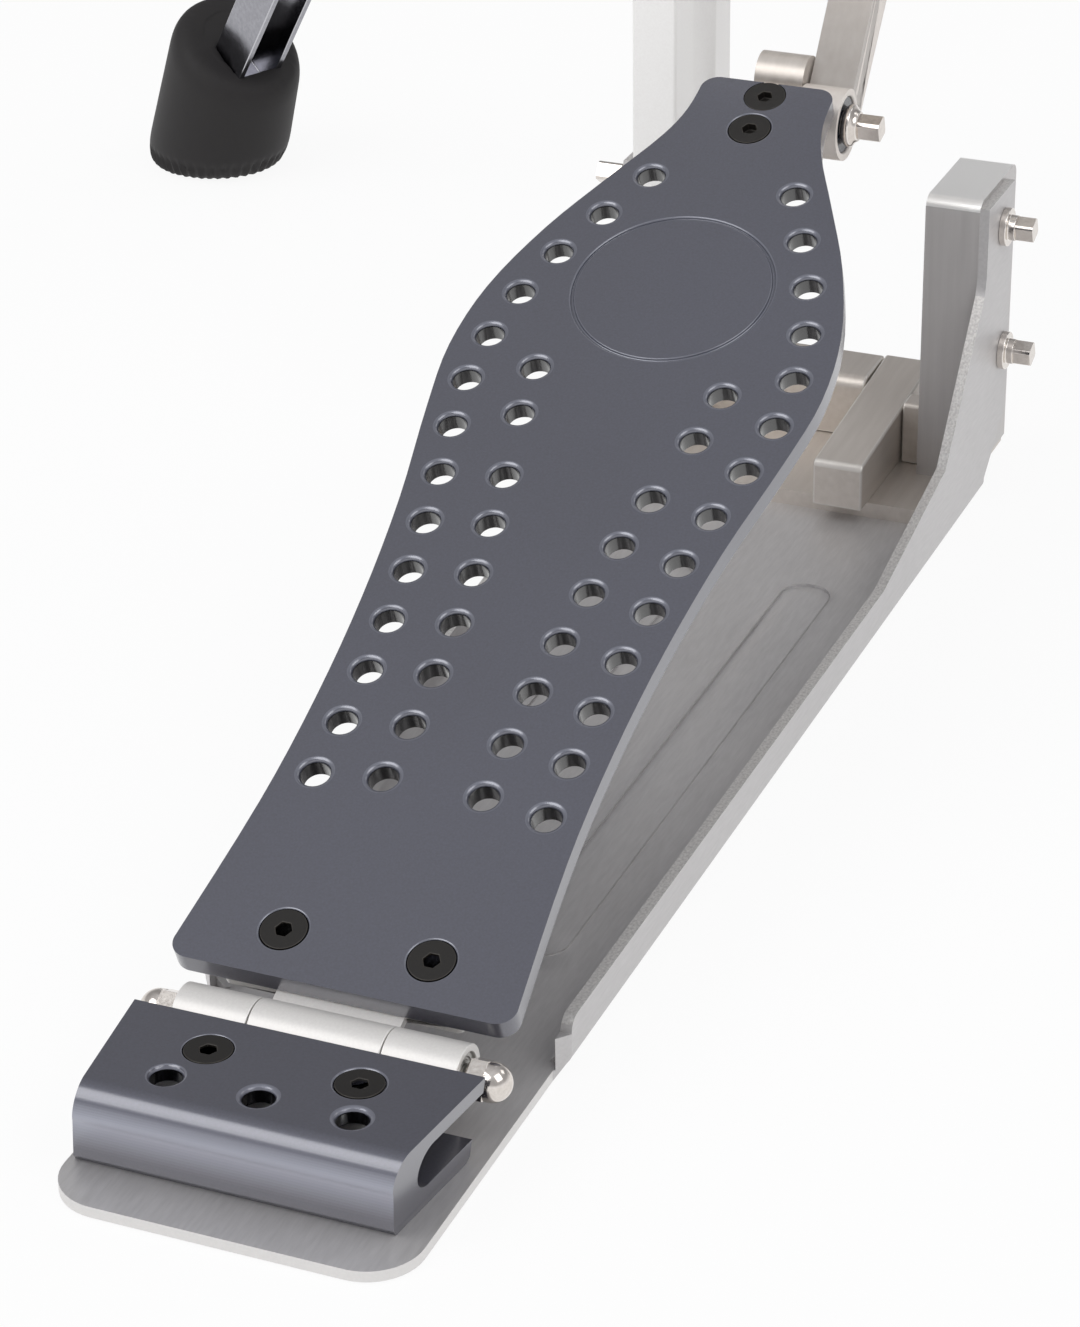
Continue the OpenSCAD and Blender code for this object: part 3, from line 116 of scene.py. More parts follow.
def world():
    """A studio dome: pale at the horizon, softer overhead and behind the stand."""
    scene_world = bpy.data.worlds.new("studio")
    bpy.context.scene.world = scene_world
    scene_world.use_nodes = True
    tree = scene_world.node_tree
    tree.nodes.clear()
    out = tree.nodes.new("ShaderNodeOutputWorld")
    where = tree.nodes.new("ShaderNodeTexCoord")
    split = tree.nodes.new("ShaderNodeSeparateXYZ")
    link(tree, where.outputs["Generated"], split.inputs[0])
    lift = tree.nodes.new("ShaderNodeMapRange")
    lift.inputs["From Min"].default_value = -1
    lift.inputs["From Max"].default_value = 1
    link(tree, split.outputs["Z"], lift.inputs["Value"])
    ramp = tree.nodes.new("ShaderNodeValToRGB")
    stops = ramp.color_ramp.elements
    stops[0].position, stops[0].color = 0.0, DOME_BELOW
    stops[1].position, stops[1].color = 1.0, DOME_ABOVE
    for place, level in DOME_STOPS:
        stops.new(place).color = (level, level, level * 1.02, 1)
    link(tree, lift.outputs[0], ramp.inputs[0])
    fade = tree.nodes.new("ShaderNodeMapRange")
    fade.inputs["From Min"].default_value = 0
    fade.inputs["From Max"].default_value = 1
    fade.inputs["To Min"].default_value = DOME_FRONT
    fade.inputs["To Max"].default_value = DOME_REAR
    link(tree, split.outputs["Y"], fade.inputs["Value"])
    studio = tree.nodes.new("ShaderNodeBackground")
    link(tree, ramp.outputs[0], studio.inputs["Color"])
    link(tree, fade.outputs[0], studio.inputs["Strength"])
    link(tree, studio.outputs[0], out.inputs[0])


def floor():
    """A pale floor half a millimetre below the feet, white to the camera and in reflections."""
    mesh = bpy.data.meshes.new("floor")
    s, z = FLOOR_HALF, -MM / 2
    mesh.from_pydata([(-s, -s, z), (s, -s, z), (s, s, z), (-s, s, z)], [], [(0, 1, 2, 3)])
    obj = bpy.data.objects.new("floor", mesh)
    bpy.context.scene.collection.objects.link(obj)
    mat = bpy.data.materials.new("pale floor")
    mat.use_nodes = True
    tree = mat.node_tree
    tree.nodes.clear()
    out = tree.nodes.new("ShaderNodeOutputMaterial")
    matt = tree.nodes.new("ShaderNodeBsdfDiffuse")
    matt.inputs["Color"].default_value = (FLOOR_GREY, FLOOR_GREY, FLOOR_GREY, 1)
    white = tree.nodes.new("ShaderNodeEmission")
    white.inputs["Color"].default_value = (1, 1, 1, 1)
    path = tree.nodes.new("ShaderNodeLightPath")
    seen = path.outputs["Is Camera Ray"]
    for kind in ("Is Glossy Ray", "Is Transmission Ray"):
        either = tree.nodes.new("ShaderNodeMath")
        either.operation = "MAXIMUM"
        link(tree, seen, either.inputs[0])
        link(tree, path.outputs[kind], either.inputs[1])
        seen = either.outputs[0]
    share = tree.nodes.new("ShaderNodeMath")
    share.operation = "MULTIPLY"
    share.inputs[1].default_value = FLOOR_WHITE
    link(tree, seen, share.inputs[0])
    mix = tree.nodes.new("ShaderNodeMixShader")
    link(tree, share.outputs[0], mix.inputs[0])
    link(tree, matt.outputs[0], mix.inputs[1])
    link(tree, white.outputs[0], mix.inputs[2])
    link(tree, mix.outputs[0], out.inputs[0])
    mesh.materials.append(mat)


# Materials
def srgb(r, g, b):
    """A colour written in 0 to 255, as the shader takes it."""
    def one(c):
        c /= 255
        return c / 12.92 if c <= 0.04045 else ((c + 0.055) / 1.055) ** 2.4

    return (one(r), one(g), one(b), 1)


def overlay(tree, colour, mark, top, share=1.0):
    """Lays a colour, or a node's colour, over another one where the mesh carries the mark."""
    marked = tree.nodes.new("ShaderNodeAttribute")
    marked.attribute_name = mark
    amount = tree.nodes.new("ShaderNodeMath")
    amount.operation = "MULTIPLY"
    amount.inputs[1].default_value = share
    link(tree, marked.outputs["Fac"], amount.inputs[0])
    mix = tree.nodes.new("ShaderNodeMix")
    mix.data_type = "RGBA"
    link(tree, amount.outputs[0], mix.inputs[0])
    link(tree, colour, mix.inputs[6])
    if isinstance(top, tuple):
        mix.inputs[7].default_value = top
    else:
        link(tree, top, mix.inputs[7])
    return mix.outputs[2]


def torn_flecks(tree, where):
    """The rough bright grain of a sheared edge."""
    grit = tree.nodes.new("ShaderNodeMapping")
    grit.inputs["Scale"].default_value = (1, 0.7, 1)
    link(tree, where.outputs["Object"], grit.inputs["Vector"])
    torn = tree.nodes.new("ShaderNodeTexNoise")
    torn.inputs["Scale"].default_value = 1500
    torn.inputs["Detail"].default_value = 5
    link(tree, grit.outputs[0], torn.inputs["Vector"])
    flecks = tree.nodes.new("ShaderNodeValToRGB")
    low, high = flecks.color_ramp.elements
    low.position, low.color = 0.32, srgb(198, 195, 193)
    high.position, high.color = 0.68, srgb(232, 230, 227)
    link(tree, torn.outputs["Fac"], flecks.inputs[0])
    return flecks.outputs[0]


def finish_of(name, dark, light, rough, metal=0.0, coat=0.0, coat_rough=0.1, grain=900,
              stretch=(1, 1, 1), bump=0.1, bump_depth=0.00003, broad=11, edge=None, painted_highlight_share=0.5,
              sheen=0.0, specular=0.5, fine_share=0.5, coat_ior=1.5, cut=False, painted_hole_shade=False):
    """A surface whose colour, roughness and relief vary with fine grain and slow blotches.

    Faces marked "edge" take the edge colour, a painted highlight. With cut, faces marked "cut" show torn
    metal, and with the switch for holes, the marked hole walls take a painted shade and are nearly black.
    """
    mat = bpy.data.materials.new(name)
    mat.use_nodes = True
    tree = mat.node_tree
    tree.nodes.clear()
    add = tree.nodes.new
    out = add("ShaderNodeOutputMaterial")
    skin = add("ShaderNodeBsdfPrincipled")
    skin.inputs["Metallic"].default_value = metal
    skin.inputs["Coat Weight"].default_value = coat
    skin.inputs["Coat Roughness"].default_value = coat_rough
    skin.inputs["Coat IOR"].default_value = coat_ior
    skin.inputs["Sheen Weight"].default_value = sheen
    skin.inputs["Sheen Roughness"].default_value = 0.6
    skin.inputs["Specular IOR Level"].default_value = specular
    where = add("ShaderNodeTexCoord")
    scale = add("ShaderNodeMapping")
    scale.inputs["Scale"].default_value = stretch
    link(tree, where.outputs["Object"], scale.inputs["Vector"])
    fine = add("ShaderNodeTexNoise")
    fine.inputs["Scale"].default_value = grain
    fine.inputs["Detail"].default_value = 4
    link(tree, scale.outputs[0], fine.inputs["Vector"])
    slow = add("ShaderNodeTexNoise")
    slow.inputs["Scale"].default_value = broad
    slow.inputs["Detail"].default_value = 2
    link(tree, where.outputs["Object"], slow.inputs["Vector"])
    both = add("ShaderNodeMix")
    both.data_type = "FLOAT"
    both.inputs[0].default_value = fine_share
    link(tree, slow.outputs["Fac"], both.inputs[2])
    link(tree, fine.outputs["Fac"], both.inputs[3])
    ramp = add("ShaderNodeValToRGB")
    ramp.color_ramp.elements[0].position = 0.3
    ramp.color_ramp.elements[0].color = dark
    ramp.color_ramp.elements[1].position = 0.7
    ramp.color_ramp.elements[1].color = light
    link(tree, both.outputs[0], ramp.inputs[0])
    colour = ramp.outputs[0]
    # Painted highlight: the edge colour over the rounded faces and the faces marked for painted light
    if edge:
        colour = overlay(tree, colour, "edge", edge, painted_highlight_share)
    if cut:
        colour = overlay(tree, colour, "cut", torn_flecks(tree, where))
    # Painted shade: the marked hole walls are made nearly black
    if painted_hole_shade:
        colour = overlay(tree, colour, "painted_hole_shade", srgb(8, 8, 10))
    link(tree, colour, skin.inputs["Base Color"])
    spread = add("ShaderNodeMapRange")
    spread.inputs["From Min"].default_value = 0.3
    spread.inputs["From Max"].default_value = 0.7
    spread.inputs["To Min"].default_value = rough[0]
    spread.inputs["To Max"].default_value = rough[1]
    link(tree, both.outputs[0], spread.inputs["Value"])
    link(tree, spread.outputs[0], skin.inputs["Roughness"])
    relief = add("ShaderNodeBump")
    relief.inputs["Strength"].default_value = bump
    relief.inputs["Distance"].default_value = bump_depth
    link(tree, fine.outputs["Fac"], relief.inputs["Height"])
    link(tree, relief.outputs[0], skin.inputs["Normal"])
    link(tree, skin.outputs[0], out.inputs[0])
    return mat


# The slate paints shade into the walls of its holes
SLATE = dict(dark=srgb(66, 66, 78), light=srgb(78, 79, 94), rough=(0.3, 0.38), metal=0.55, coat=1.0,
             coat_rough=0.2, coat_ior=1.9, grain=1600, bump=0.16, broad=7, painted_hole_shade=True)
# Each look's edge colour is a painted highlight on its rounded edges, shown at the painted highlight share
LOOKS = {
    "base_satin": dict(dark=srgb(188, 186, 186), light=srgb(208, 206, 206), rough=(0.38, 0.5),
                       metal=0.6, grain=1200, stretch=(1, 0.12, 1), bump=0.25,
                       edge=srgb(244, 242, 239), broad=9, cut=True),
    "machined_silver": dict(dark=srgb(198, 190, 182), light=srgb(216, 209, 202), rough=(0.34, 0.46),
                            metal=0.65, grain=420, stretch=(1, 0.05, 1), bump=0.2,
                            edge=srgb(232, 230, 226)),
    "pale_silver": dict(dark=srgb(242, 240, 238), light=srgb(250, 249, 247), rough=(0.34, 0.46),
                        metal=0.2, grain=1500, bump=0.15, edge=srgb(244, 243, 240)),
    "barrel_silver": dict(dark=srgb(214, 211, 208), light=srgb(226, 224, 221), rough=(0.34, 0.46),
                          metal=0.35, grain=1500, bump=0.15, edge=srgb(240, 238, 235)),
    # The heel plate's slate: its edge colour at full share is the painted reflection on its front and a
    # painted edge highlight
    "heel_slate": dict(SLATE, edge=srgb(158, 161, 176), painted_highlight_share=1.0),
    # A lighter copy of the machined silver for the drive link: painted light, standing in for the light on
    # its front
    "link_silver_painted_light": dict(dark=srgb(222, 214, 207), light=srgb(236, 230, 224), rough=(0.38, 0.5), metal=0.45,
                       grain=420, stretch=(1, 1, 0.05), bump=0.15, edge=srgb(236, 231, 226)),
    # The short post: its edge colour at full share is the painted highlight on its top and round front edge
    "grey_silver": dict(dark=srgb(182, 179, 178), light=srgb(200, 197, 196), rough=(0.3, 0.4), metal=0.6,
                        grain=420, stretch=(1, 1, 0.05), bump=0.2, edge=srgb(250, 249, 247), painted_highlight_share=1.0),
    "board_slate": dict(SLATE, edge=srgb(112, 115, 128), painted_highlight_share=0.55),
    "black_screw": dict(dark=srgb(22, 20, 18), light=srgb(34, 31, 28), rough=(0.34, 0.46), metal=0.2,
                        grain=2200, bump=0.3, edge=srgb(66, 62, 56)),
    "bright_steel": dict(dark=srgb(206, 198, 191), light=srgb(228, 222, 216), rough=(0.1, 0.2), metal=1.0,
                         grain=900, bump=0.1, edge=srgb(240, 236, 231)),
    "pin_steel": dict(dark=srgb(150, 148, 145), light=srgb(178, 176, 172), rough=(0.24, 0.36), metal=0.95,
                      grain=700, stretch=(0.05, 1, 1), bump=0.2, edge=srgb(208, 206, 202)),
    "bearing_dark": dict(dark=srgb(22, 26, 36), light=srgb(34, 38, 50), rough=(0.22, 0.34), coat=0.4,
                         grain=1500, bump=0.1, edge=srgb(70, 78, 92)),
    "tube_chrome": dict(dark=srgb(206, 206, 208), light=srgb(222, 222, 224), rough=(0.06, 0.13), metal=1.0,
                        grain=600, bump=0.05, edge=srgb(238, 238, 240)),
    "leg_chrome": dict(dark=srgb(134, 134, 140), light=srgb(164, 164, 170), rough=(0.12, 0.2), metal=1.0,
                       grain=600, bump=0.05, edge=srgb(220, 220, 224)),
    "collar_black": dict(dark=srgb(38, 38, 40), light=srgb(50, 50, 52), rough=(0.4, 0.55), coat=0.2,
                         grain=2400, bump=0.5, edge=srgb(78, 78, 80)),
    "foot_rubber": dict(dark=srgb(33, 31, 32), light=srgb(44, 42, 42), rough=(0.5, 0.68), specular=0.3,
                        grain=2600, bump=0.45, bump_depth=0.00006),
    "felt_grey": dict(dark=srgb(92, 88, 83), light=srgb(134, 130, 124), rough=(0.85, 0.98), specular=0.2,
                      sheen=0.5, grain=1900, fine_share=0.75, bump=0.9, bump_depth=0.0003),
    "spring_steel": dict(dark=srgb(160, 160, 162), light=srgb(186, 186, 188), rough=(0.22, 0.34), metal=0.95,
                         grain=1200, bump=0.1),
}
SLOTS = {
    "base_satin": ["base_plate"],
    "machined_silver": ["tie_plate", "rear_bridge", "spacer_bar", "stop_block", "toe_bracket",
                        "rod_coupler", "tension_knob", "memory_lock"],
    "pale_silver": ["left_post", "rocker", "top_bridge"],
    "barrel_silver": ["hinge_base_leaf", "hinge_board_knuckle"],
    "link_silver_painted_light": ["drive_link"],
    "grey_silver": ["right_post"],
    "board_slate": ["footboard"],
    "heel_slate": ["heel_plate"],
    "black_screw": ["post_foot_screws", "heel_plate_screws", "heel_foot_screws", "board_heel_screws",
                    "toe_screws", "bridge_screws"],
    "bright_steel": ["post_bolts", "hinge_dome_nuts", "toe_bolt", "upper_collar_screw", "tube_clamp_screw",
                     "seat_tilt_screw", "clutch_body", "clutch_screw", "clutch_nut"],
    "pin_steel": ["hinge_pin", "hinge_bearings", "rocker_shaft", "rocker_bearings", "rocker_pins",
                  "spring_collar", "lower_collar_pins", "left_leg_pins", "right_leg_pins"],
    "bearing_dark": ["toe_bearing"],
    "tube_chrome": ["pull_rod", "lower_tube", "left_strut", "right_strut", "upper_tube"],
    "leg_chrome": ["left_leg", "right_leg"],
    "collar_black": ["lower_collar", "upper_collar", "tube_clamp", "seat_base", "seat_cup"],
    "foot_rubber": ["left_foot", "right_foot"],
    "felt_grey": ["seat_felt", "clutch_felts"],
    "spring_steel": ["tension_spring"],
}
# Looks that the record has no slot for
SLOT_OF = {n: s for s, names in SLOTS.items() for n in names}
MATERIALS = {}


def material(slot):
    if slot not in MATERIALS:
        MATERIALS[slot] = finish_of(slot, **LOOKS[slot])
    return MATERIALS[slot]


def piece_of(name, mesh, body, slot, *nodes):
    """A piece of the scene: its material, the nodes that it stands for, its body and its slot."""
    obj = bpy.data.objects.new(name, mesh)
    bpy.context.scene.collection.objects.link(obj)
    mesh.materials.clear()
    mesh.materials.append(material(slot))
    if nodes:
        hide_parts(*nodes)
    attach(obj, body)
    return obj


def even_normals(obj):
    """Flat faces stay flat and the small rounds between them take the light."""
    shade = obj.modifiers.new("weighted", "WEIGHTED_NORMAL")
    shade.weight = 60
    shade.keep_sharp = True


# A CAD node as new mesh: points nearer than this in metres are one, and faces that turn less than the
# angle FLAT are joined; edges sharper than SHARP are rounded, and those above HARD stay hard
SAME_POINT = 2e-6
FLAT, SHARP, HARD = math.radians(0.3), math.radians(32), math.radians(40)


def welded(node):
    bm = bmesh.new()
    bm.from_mesh(frame["nodes"][node].data)
    bmesh.ops.remove_doubles(bm, verts=bm.verts, dist=SAME_POINT)
    bmesh.ops.dissolve_limit(bm, angle_limit=FLAT, verts=bm.verts, edges=bm.edges)
    return bm


def touching_groups(members, neighbours):
    """Splits edges or faces into groups whose members touch, in the order in which they came."""
    left = dict.fromkeys(members)
    while left:
        start = next(iter(left))
        del left[start]
        todo, group = [start], []
        while todo:
            member = todo.pop()
            group.append(member)
            for other in neighbours(member):
                if other in left:
                    del left[other]
                    todo.append(other)
        yield group


def turn_of(edge):
    """The angle between the two faces of an edge, or 0 for an open edge."""
    return edge.calc_face_angle(0) if len(edge.link_faces) == 2 else 0


def rounded(bm, edges, size, segments):
    """Rounds edges by a size in millimetres and gives back the new faces."""
    return bmesh.ops.bevel(bm, geom=edges, offset=size * MM, offset_type="OFFSET", segments=segments,
                           profile=0.5, affect="EDGES", clamp_overlap=True)["faces"]


def dress(node, width, first=None, last=None):
    """The node with its edges rounded; first reshapes it before that, last marks faces after it."""
    bm = welded(node)
    if first:
        first(bm)
    # The rounded faces are marked for the painted highlight of the edge colour
    mark = bm.faces.layers.float.new("edge")
    corners = [e for e in bm.edges if turn_of(e) > SHARP]
    for group in list(touching_groups(corners, lambda e: [o for v in e.verts for o in v.link_edges])):
        for f in rounded(bm, group, width, 3):
            f[mark] = 1
    if last:
        last(bm)
    for f in bm.faces:
        f.smooth = True
    for e in bm.edges:
        e.smooth = turn_of(e) <= HARD
    # The renderer takes the normal of a shared corner from its last face, so their order is fixed
    bm.faces.sort(key=lambda f: -f.index)
    mesh = bpy.data.meshes.new("dressed_" + node)
    bm.to_mesh(mesh)
    bm.free()
    even_normals(piece_of("dressed_" + node, mesh, NODE_BODY[node], SLOT_OF[node], node))


def tube(points, radius, sides):
    """Vertices and faces of a round tube along points, closed at both ends."""
    verts, faces = [], []
    normal = None
    for i, p in enumerate(points):
        ahead = points[min(i + 1, len(points) - 1)] - points[max(i - 1, 0)]
        ahead.normalize()
        if normal is None:
            normal = ahead.orthogonal().normalized()
        normal = (normal - ahead * normal.dot(ahead)).normalized()
        side = ahead.cross(normal)
        for k in range(sides):
            a = 2 * math.pi * k / sides
            verts.append(p + radius * (math.cos(a) * normal + math.sin(a) * side))
    for i in range(len(points) - 1):
        for k in range(sides):
            a, b = i * sides + k, i * sides + (k + 1) % sides
            faces.append((a, b, b + sides, a + sides))
    faces.append(tuple(range(sides))[::-1])
    faces.append(tuple(range((len(points) - 1) * sides, len(points) * sides)))
    return verts, faces


def mesh_of(name, verts, faces):
    mesh = bpy.data.meshes.new(name)
    mesh.from_pydata([tuple(v) for v in verts], [], faces)
    mesh.polygons.foreach_set("use_smooth", [True] * len(mesh.polygons))
    mesh.update()
    return mesh


def facing_out(mesh, upwards=False):
    """Turns the faces of a mesh outwards; an open sheet is turned upwards."""
    bm = bmesh.new()
    bm.from_mesh(mesh)
    bmesh.ops.recalc_face_normals(bm, faces=bm.faces)
    if upwards and sum(f.normal.z for f in bm.faces) < 0:
        bmesh.ops.reverse_faces(bm, faces=bm.faces)
    bm.to_mesh(mesh)
    bm.free()
    mesh.polygons.foreach_set("use_smooth", [True] * len(mesh.polygons))


# The two pressed ribs of the pan, in millimetres: their middle, the centres of their round ends, the
# radii of the flat top and of the foot, the height, and how much wider the front end is
PAN_TOP = 3.01
RIB_X, RIB_FRONT, RIB_REAR = 22, -318, -110.5
RIB_TOP, RIB_FOOT, RIB_RISE, RIB_SPREAD = 1.6, 11.4, 1.6, 0.12
RIB_RINGS = (0.4, RIB_TOP, 2.6, 3.6, 4.6, 5.6, 6.6, 7.6, 8.6, 9.6, 10.5, RIB_FOOT)
RIB_STEPS = 24


def soft_rib(side):
    """A pressed rib with soft slopes, right where side is 1 and left where it is -1."""
    around = []
    for start, y in ((0, RIB_REAR), (1, RIB_FRONT)):
        for k in range(RIB_STEPS + 1):
            a = math.pi * (start + k / RIB_STEPS)
            around.append((math.cos(a), math.sin(a), y))
    verts, faces = [], []
    for r in RIB_RINGS:
        t = min(1, max(0, (RIB_FOOT - r) / (RIB_FOOT - RIB_TOP)))
        z = PAN_TOP + RIB_RISE * t * t * (3 - 2 * t)
        for c, s, y in around:
            reach = r * (1 + RIB_SPREAD * (y == RIB_FRONT))
            verts.append(Vector((side * RIB_X + reach * c, y + reach * s, z)) * MM)
    n = len(around)
    for i in range(len(RIB_RINGS) - 1):
        for k in range(n):
            a, b = i * n + k, i * n + (k + 1) % n
            faces.append((a, b, b + n, a + n))
    faces.append(tuple(range(n))[::-1])
    mesh = mesh_of("rib", verts, faces)
    facing_out(mesh, upwards=True)
    piece_of("pressed_rib_left" if side < 0 else "pressed_rib_right", mesh, "frame", "base_satin")


# The base plate, in millimetres and radians: the small step that is shaved off, the tongue with the low
# front rim that gets a painted highlight, the space that the square ribs fill, the bends along the sides,
# and the height above which faces are cut edges
STEP_FRONT, STEP_REAR, STEP_TOP = -371, -366.5, 5
TONGUE_HALF, CORNER_HALF, TONGUE_REAR, TONGUE_TOP = 46.5, 45, -372, 3.2
RIB_ZONE = ((-34, 34), (-335, -95), (3.02, 4.6))
BEND_TOP, BEND_HALF, BEND_LENGTH, BEND_TURN, BEND_ROUND = 6.5, 40, 30, (0.7, 0.9), 1.9
SIDE_TOP = 12


def soft_bends(bm):
    """Shaves the step at the start of the sides, takes off the square ribs and rounds the bends."""
    for v in bm.verts:
        if STEP_FRONT * MM < v.co.y < STEP_REAR * MM and v.co.z < STEP_TOP * MM:
            reach = max(TONGUE_HALF * MM, CORNER_HALF * MM + v.co.z)
            v.co.x = max(-reach, min(reach, v.co.x))
    gone = [f for f in bm.faces
            if all(low * MM < v.co[i] < high * MM
                   for v in f.verts for i, (low, high) in enumerate(RIB_ZONE))]
    bmesh.ops.delete(bm, geom=gone, context="FACES")
    bends = []
    for e in bm.edges:
        a, b = (v.co for v in e.verts)
        at_side = max(a.z, b.z) < BEND_TOP * MM and min(abs(a.x), abs(b.x)) > BEND_HALF * MM
        if at_side and (a - b).length > BEND_LENGTH * MM and BEND_TURN[0] < turn_of(e) < BEND_TURN[1]:
            bends.append(e)
    rounded(bm, bends, BEND_ROUND, 5)


def sheared(bm):
    """Marks the cut top edges of the sides, and paints a highlight on the front rim of the tongue."""
    mark = bm.faces.layers.float.new("cut")
    rim = bm.faces.layers.float["edge"]
    for f in bm.faces:
        c = f.calc_center_median() / MM
        if c.z > SIDE_TOP and f.normal.z > 0.5 and abs(f.normal.x) < 0.5:
            f[mark] = 1
        # Painted highlight on the tongue's front rim
        if c.z < TONGUE_TOP and abs(f.normal.z) < 0.5 and c.y < TONGUE_REAR:
            f[rim] = 1


# Small changes of shape, and painted light and shade, against the CAD, in millimetres and radians: the
# short post, the tie plate, the bolts, the holes whose walls get a painted shade, and the heights between
# which the front of the heel plate carries a painted reflection that grows lighter
STUB_TALLER, STUB_WIDER, STUB_EDGE = 1.5, 1.8, 3.2
TIE_CUT, TIE_HALF, TIE_SHARE = 15, 36, 0.86
BOLT_SEAT, BOLT_STRETCH = -69.5, 1.45
BOARD_RISE, HOLE_SPAN = math.radians(21.9), 15
HEEL_STRIPS, HEEL_FRONT = range(4, 20), 6
HEEL_PAINTED_DARK, HEEL_NOSE, HEEL_PAINTED_LIGHT = 8, 19, 0.8


def taller(amount):
    """Lifts the upper half of a block, so that its top stands higher."""
    def change(bm):
        heights = [v.co.z for v in bm.verts]
        middle = (min(heights) + max(heights)) / 2
        for v in bm.verts:
            if v.co.z > middle:
                v.co.z += amount * MM

    return change


def stub_size(bm):
    """The short post stands slightly taller and wider, with a broad round along its front top edge."""
    taller(STUB_TALLER)(bm)
    middle = sum(v.co.x for v in bm.verts) / len(bm.verts)
    inner = min(v.co.x for v in bm.verts)
    for v in bm.verts:
        if v.co.x < inner + 0.5 * MM < middle:
            v.co.x -= STUB_WIDER * MM
    front, top = min(v.co.y for v in bm.verts), max(v.co.z for v in bm.verts)
    near = 2.5 * MM
    broad = [e for e in bm.edges
             if all(v.co.y < front + near and v.co.z > top - near for v in e.verts) and turn_of(e) > 0.9]
    rounded(bm, broad, STUB_EDGE, 7)


def cut_level(bm, place, normal):
    """Cuts all faces along a plane, and changes no shape."""
    everything = bm.verts[:] + bm.edges[:] + bm.faces[:]
    bmesh.ops.bisect_plane(bm, geom=everything, plane_co=place, plane_no=normal)


def cropped_tie(bm):
    """The tie plate narrows behind the posts."""
    cut_level(bm, (0, TIE_CUT * MM, 0), (0, 1, 0))
    for v in bm.verts:
        if v.co.y > (TIE_CUT + 0.2) * MM and abs(v.co.x) > TIE_HALF * MM:
            v.co.x *= TIE_SHARE


def longer_left_bolts(bm):
    """The heads on the left stand further out than those on the right."""
    seat = BOLT_SEAT * MM
    for v in bm.verts:
        if v.co.x < seat:
            v.co.x = seat + (v.co.x - seat) * BOLT_STRETCH


def paint_hole_shade(bm, normal):
    """Marks the walls of the holes through a plate with the given normal, for a painted shade that makes
    them nearly black.
    """
    mark = bm.faces.layers.float.new("painted_hole_shade")
    walls = [f for f in bm.faces if abs(f.normal.dot(normal)) < 0.35]
    for group in touching_groups(walls, lambda f: [o for e in f.edges for o in e.link_faces]):
        places = [v.co for f in group for v in f.verts]
        spans = [max(p[i] for p in places) - min(p[i] for p in places) for i in range(3)]
        if max(spans) < HOLE_SPAN * MM:
            for f in group:
                f[mark] = 1


# Paints shade into the walls of the footboard's holes
def board_hole_shade(bm):
    paint_hole_shade(bm, Vector((0, -math.sin(BOARD_RISE), math.cos(BOARD_RISE))))


def heel_strips(bm):
    """Cuts the front of the heel plate into level strips, so that its painted reflection can change slowly.
    """
    for z in HEEL_STRIPS:
        cut_level(bm, (0, 0, z * MM), (0, 0, 1))


def heel_painted_light(bm):
    """Paints a reflection on the heel plate's front, lightest at its nose, and paints shade into its holes.
    """
    rim = bm.faces.layers.float["edge"]
    front = min(v.co.y for v in bm.verts) / MM
    for f in bm.faces:
        f[rim] *= 0.3
        c = f.calc_center_median() / MM
        if f.normal.y < -0.3 and c.y < front + HEEL_FRONT:
            if c.z < HEEL_NOSE:
                f[rim] = min(HEEL_PAINTED_LIGHT, max(0, (c.z - HEEL_PAINTED_DARK) / (HEEL_NOSE - HEEL_PAINTED_DARK)))
            else:
                f[rim] = max(0, HEEL_PAINTED_LIGHT - (c.z - HEEL_NOSE) / 6)
    paint_hole_shade(bm, Vector((0, 0, 1)))


def stub_painted_highlight(bm):
    """Paints a highlight on the top of the short post and on its round front edge."""
    rim = bm.faces.layers.float["edge"]
    top = max(v.co.z for v in bm.verts)
    for f in bm.faces:
        if f.normal.z > 0.25 and f.calc_center_median().z > top - 4.5 * MM:
            f[rim] = 1


# The tension spring, in millimetres: the real spring shortens as the rod goes down by this much
ROD_DROP, SPRING_WIRE, SPRING_CURLS, SPRING_STEPS = 28.6, 1.1, 10, 36


def spring():
    """The spring in round wire, as long as its node."""
    low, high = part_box("tension_spring")
    wire = SPRING_WIRE * MM
    r = (high.x - low.x) / 2 - wire
    z0, z1 = low.z + wire, high.z - wire
    points = []
    for i in range(SPRING_CURLS * SPRING_STEPS + 1):
        u = i / SPRING_STEPS
        a = 2 * math.pi * u
        points.append(Vector((r * math.cos(a), r * math.sin(a), z0 + (z1 - z0) * u / SPRING_CURLS)))
    mesh = mesh_of("spring", *tube(points, wire, 12))
    obj = piece_of("round_wire_spring", mesh, NODE_BODY["tension_spring"], "spring_steel", "tension_spring")
    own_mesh(obj)


# Felt washers, in millimetres: the seat's has the thickness of its node, the clutch's have this one
FELT_STEPS, FELT_BULGE, FELT_WAVE, FELT_THICK = 96, 1.6, 0.22, 9
SEAT_FELT_BORE, CLUTCH_FELT_BORE = 6.7, 5.1


def felt_profile(z0, z1, r_out, r_in):
    """Half a section: bulging side, crowned top and bottom, rounded bore."""
    mid, half = (z0 + z1) / 2, (z1 - z0) / 2
    profile = []
    for k in range(9):
        a = -math.pi / 2 + math.pi * k / 8
        bulge = math.cos(a) ** 0.6 if k not in (0, 8) else 0
        profile.append((r_out - FELT_BULGE + FELT_BULGE * bulge, mid + (half - 0.35) * math.sin(a)))
    middle = (r_out + r_in) / 2
    inner = middle - 3 if middle - 3 > r_in + 0.8 else r_in + 1
    crown = [(middle + 3, 0.06), (middle, 0), (inner, 0.1), (r_in + 0.3, 0.5), (r_in, 1.2)]
    profile += [(r, z1 - drop) for r, drop in crown]
    profile += [(r, z0 + drop) for r, drop in reversed(crown)]
    return profile


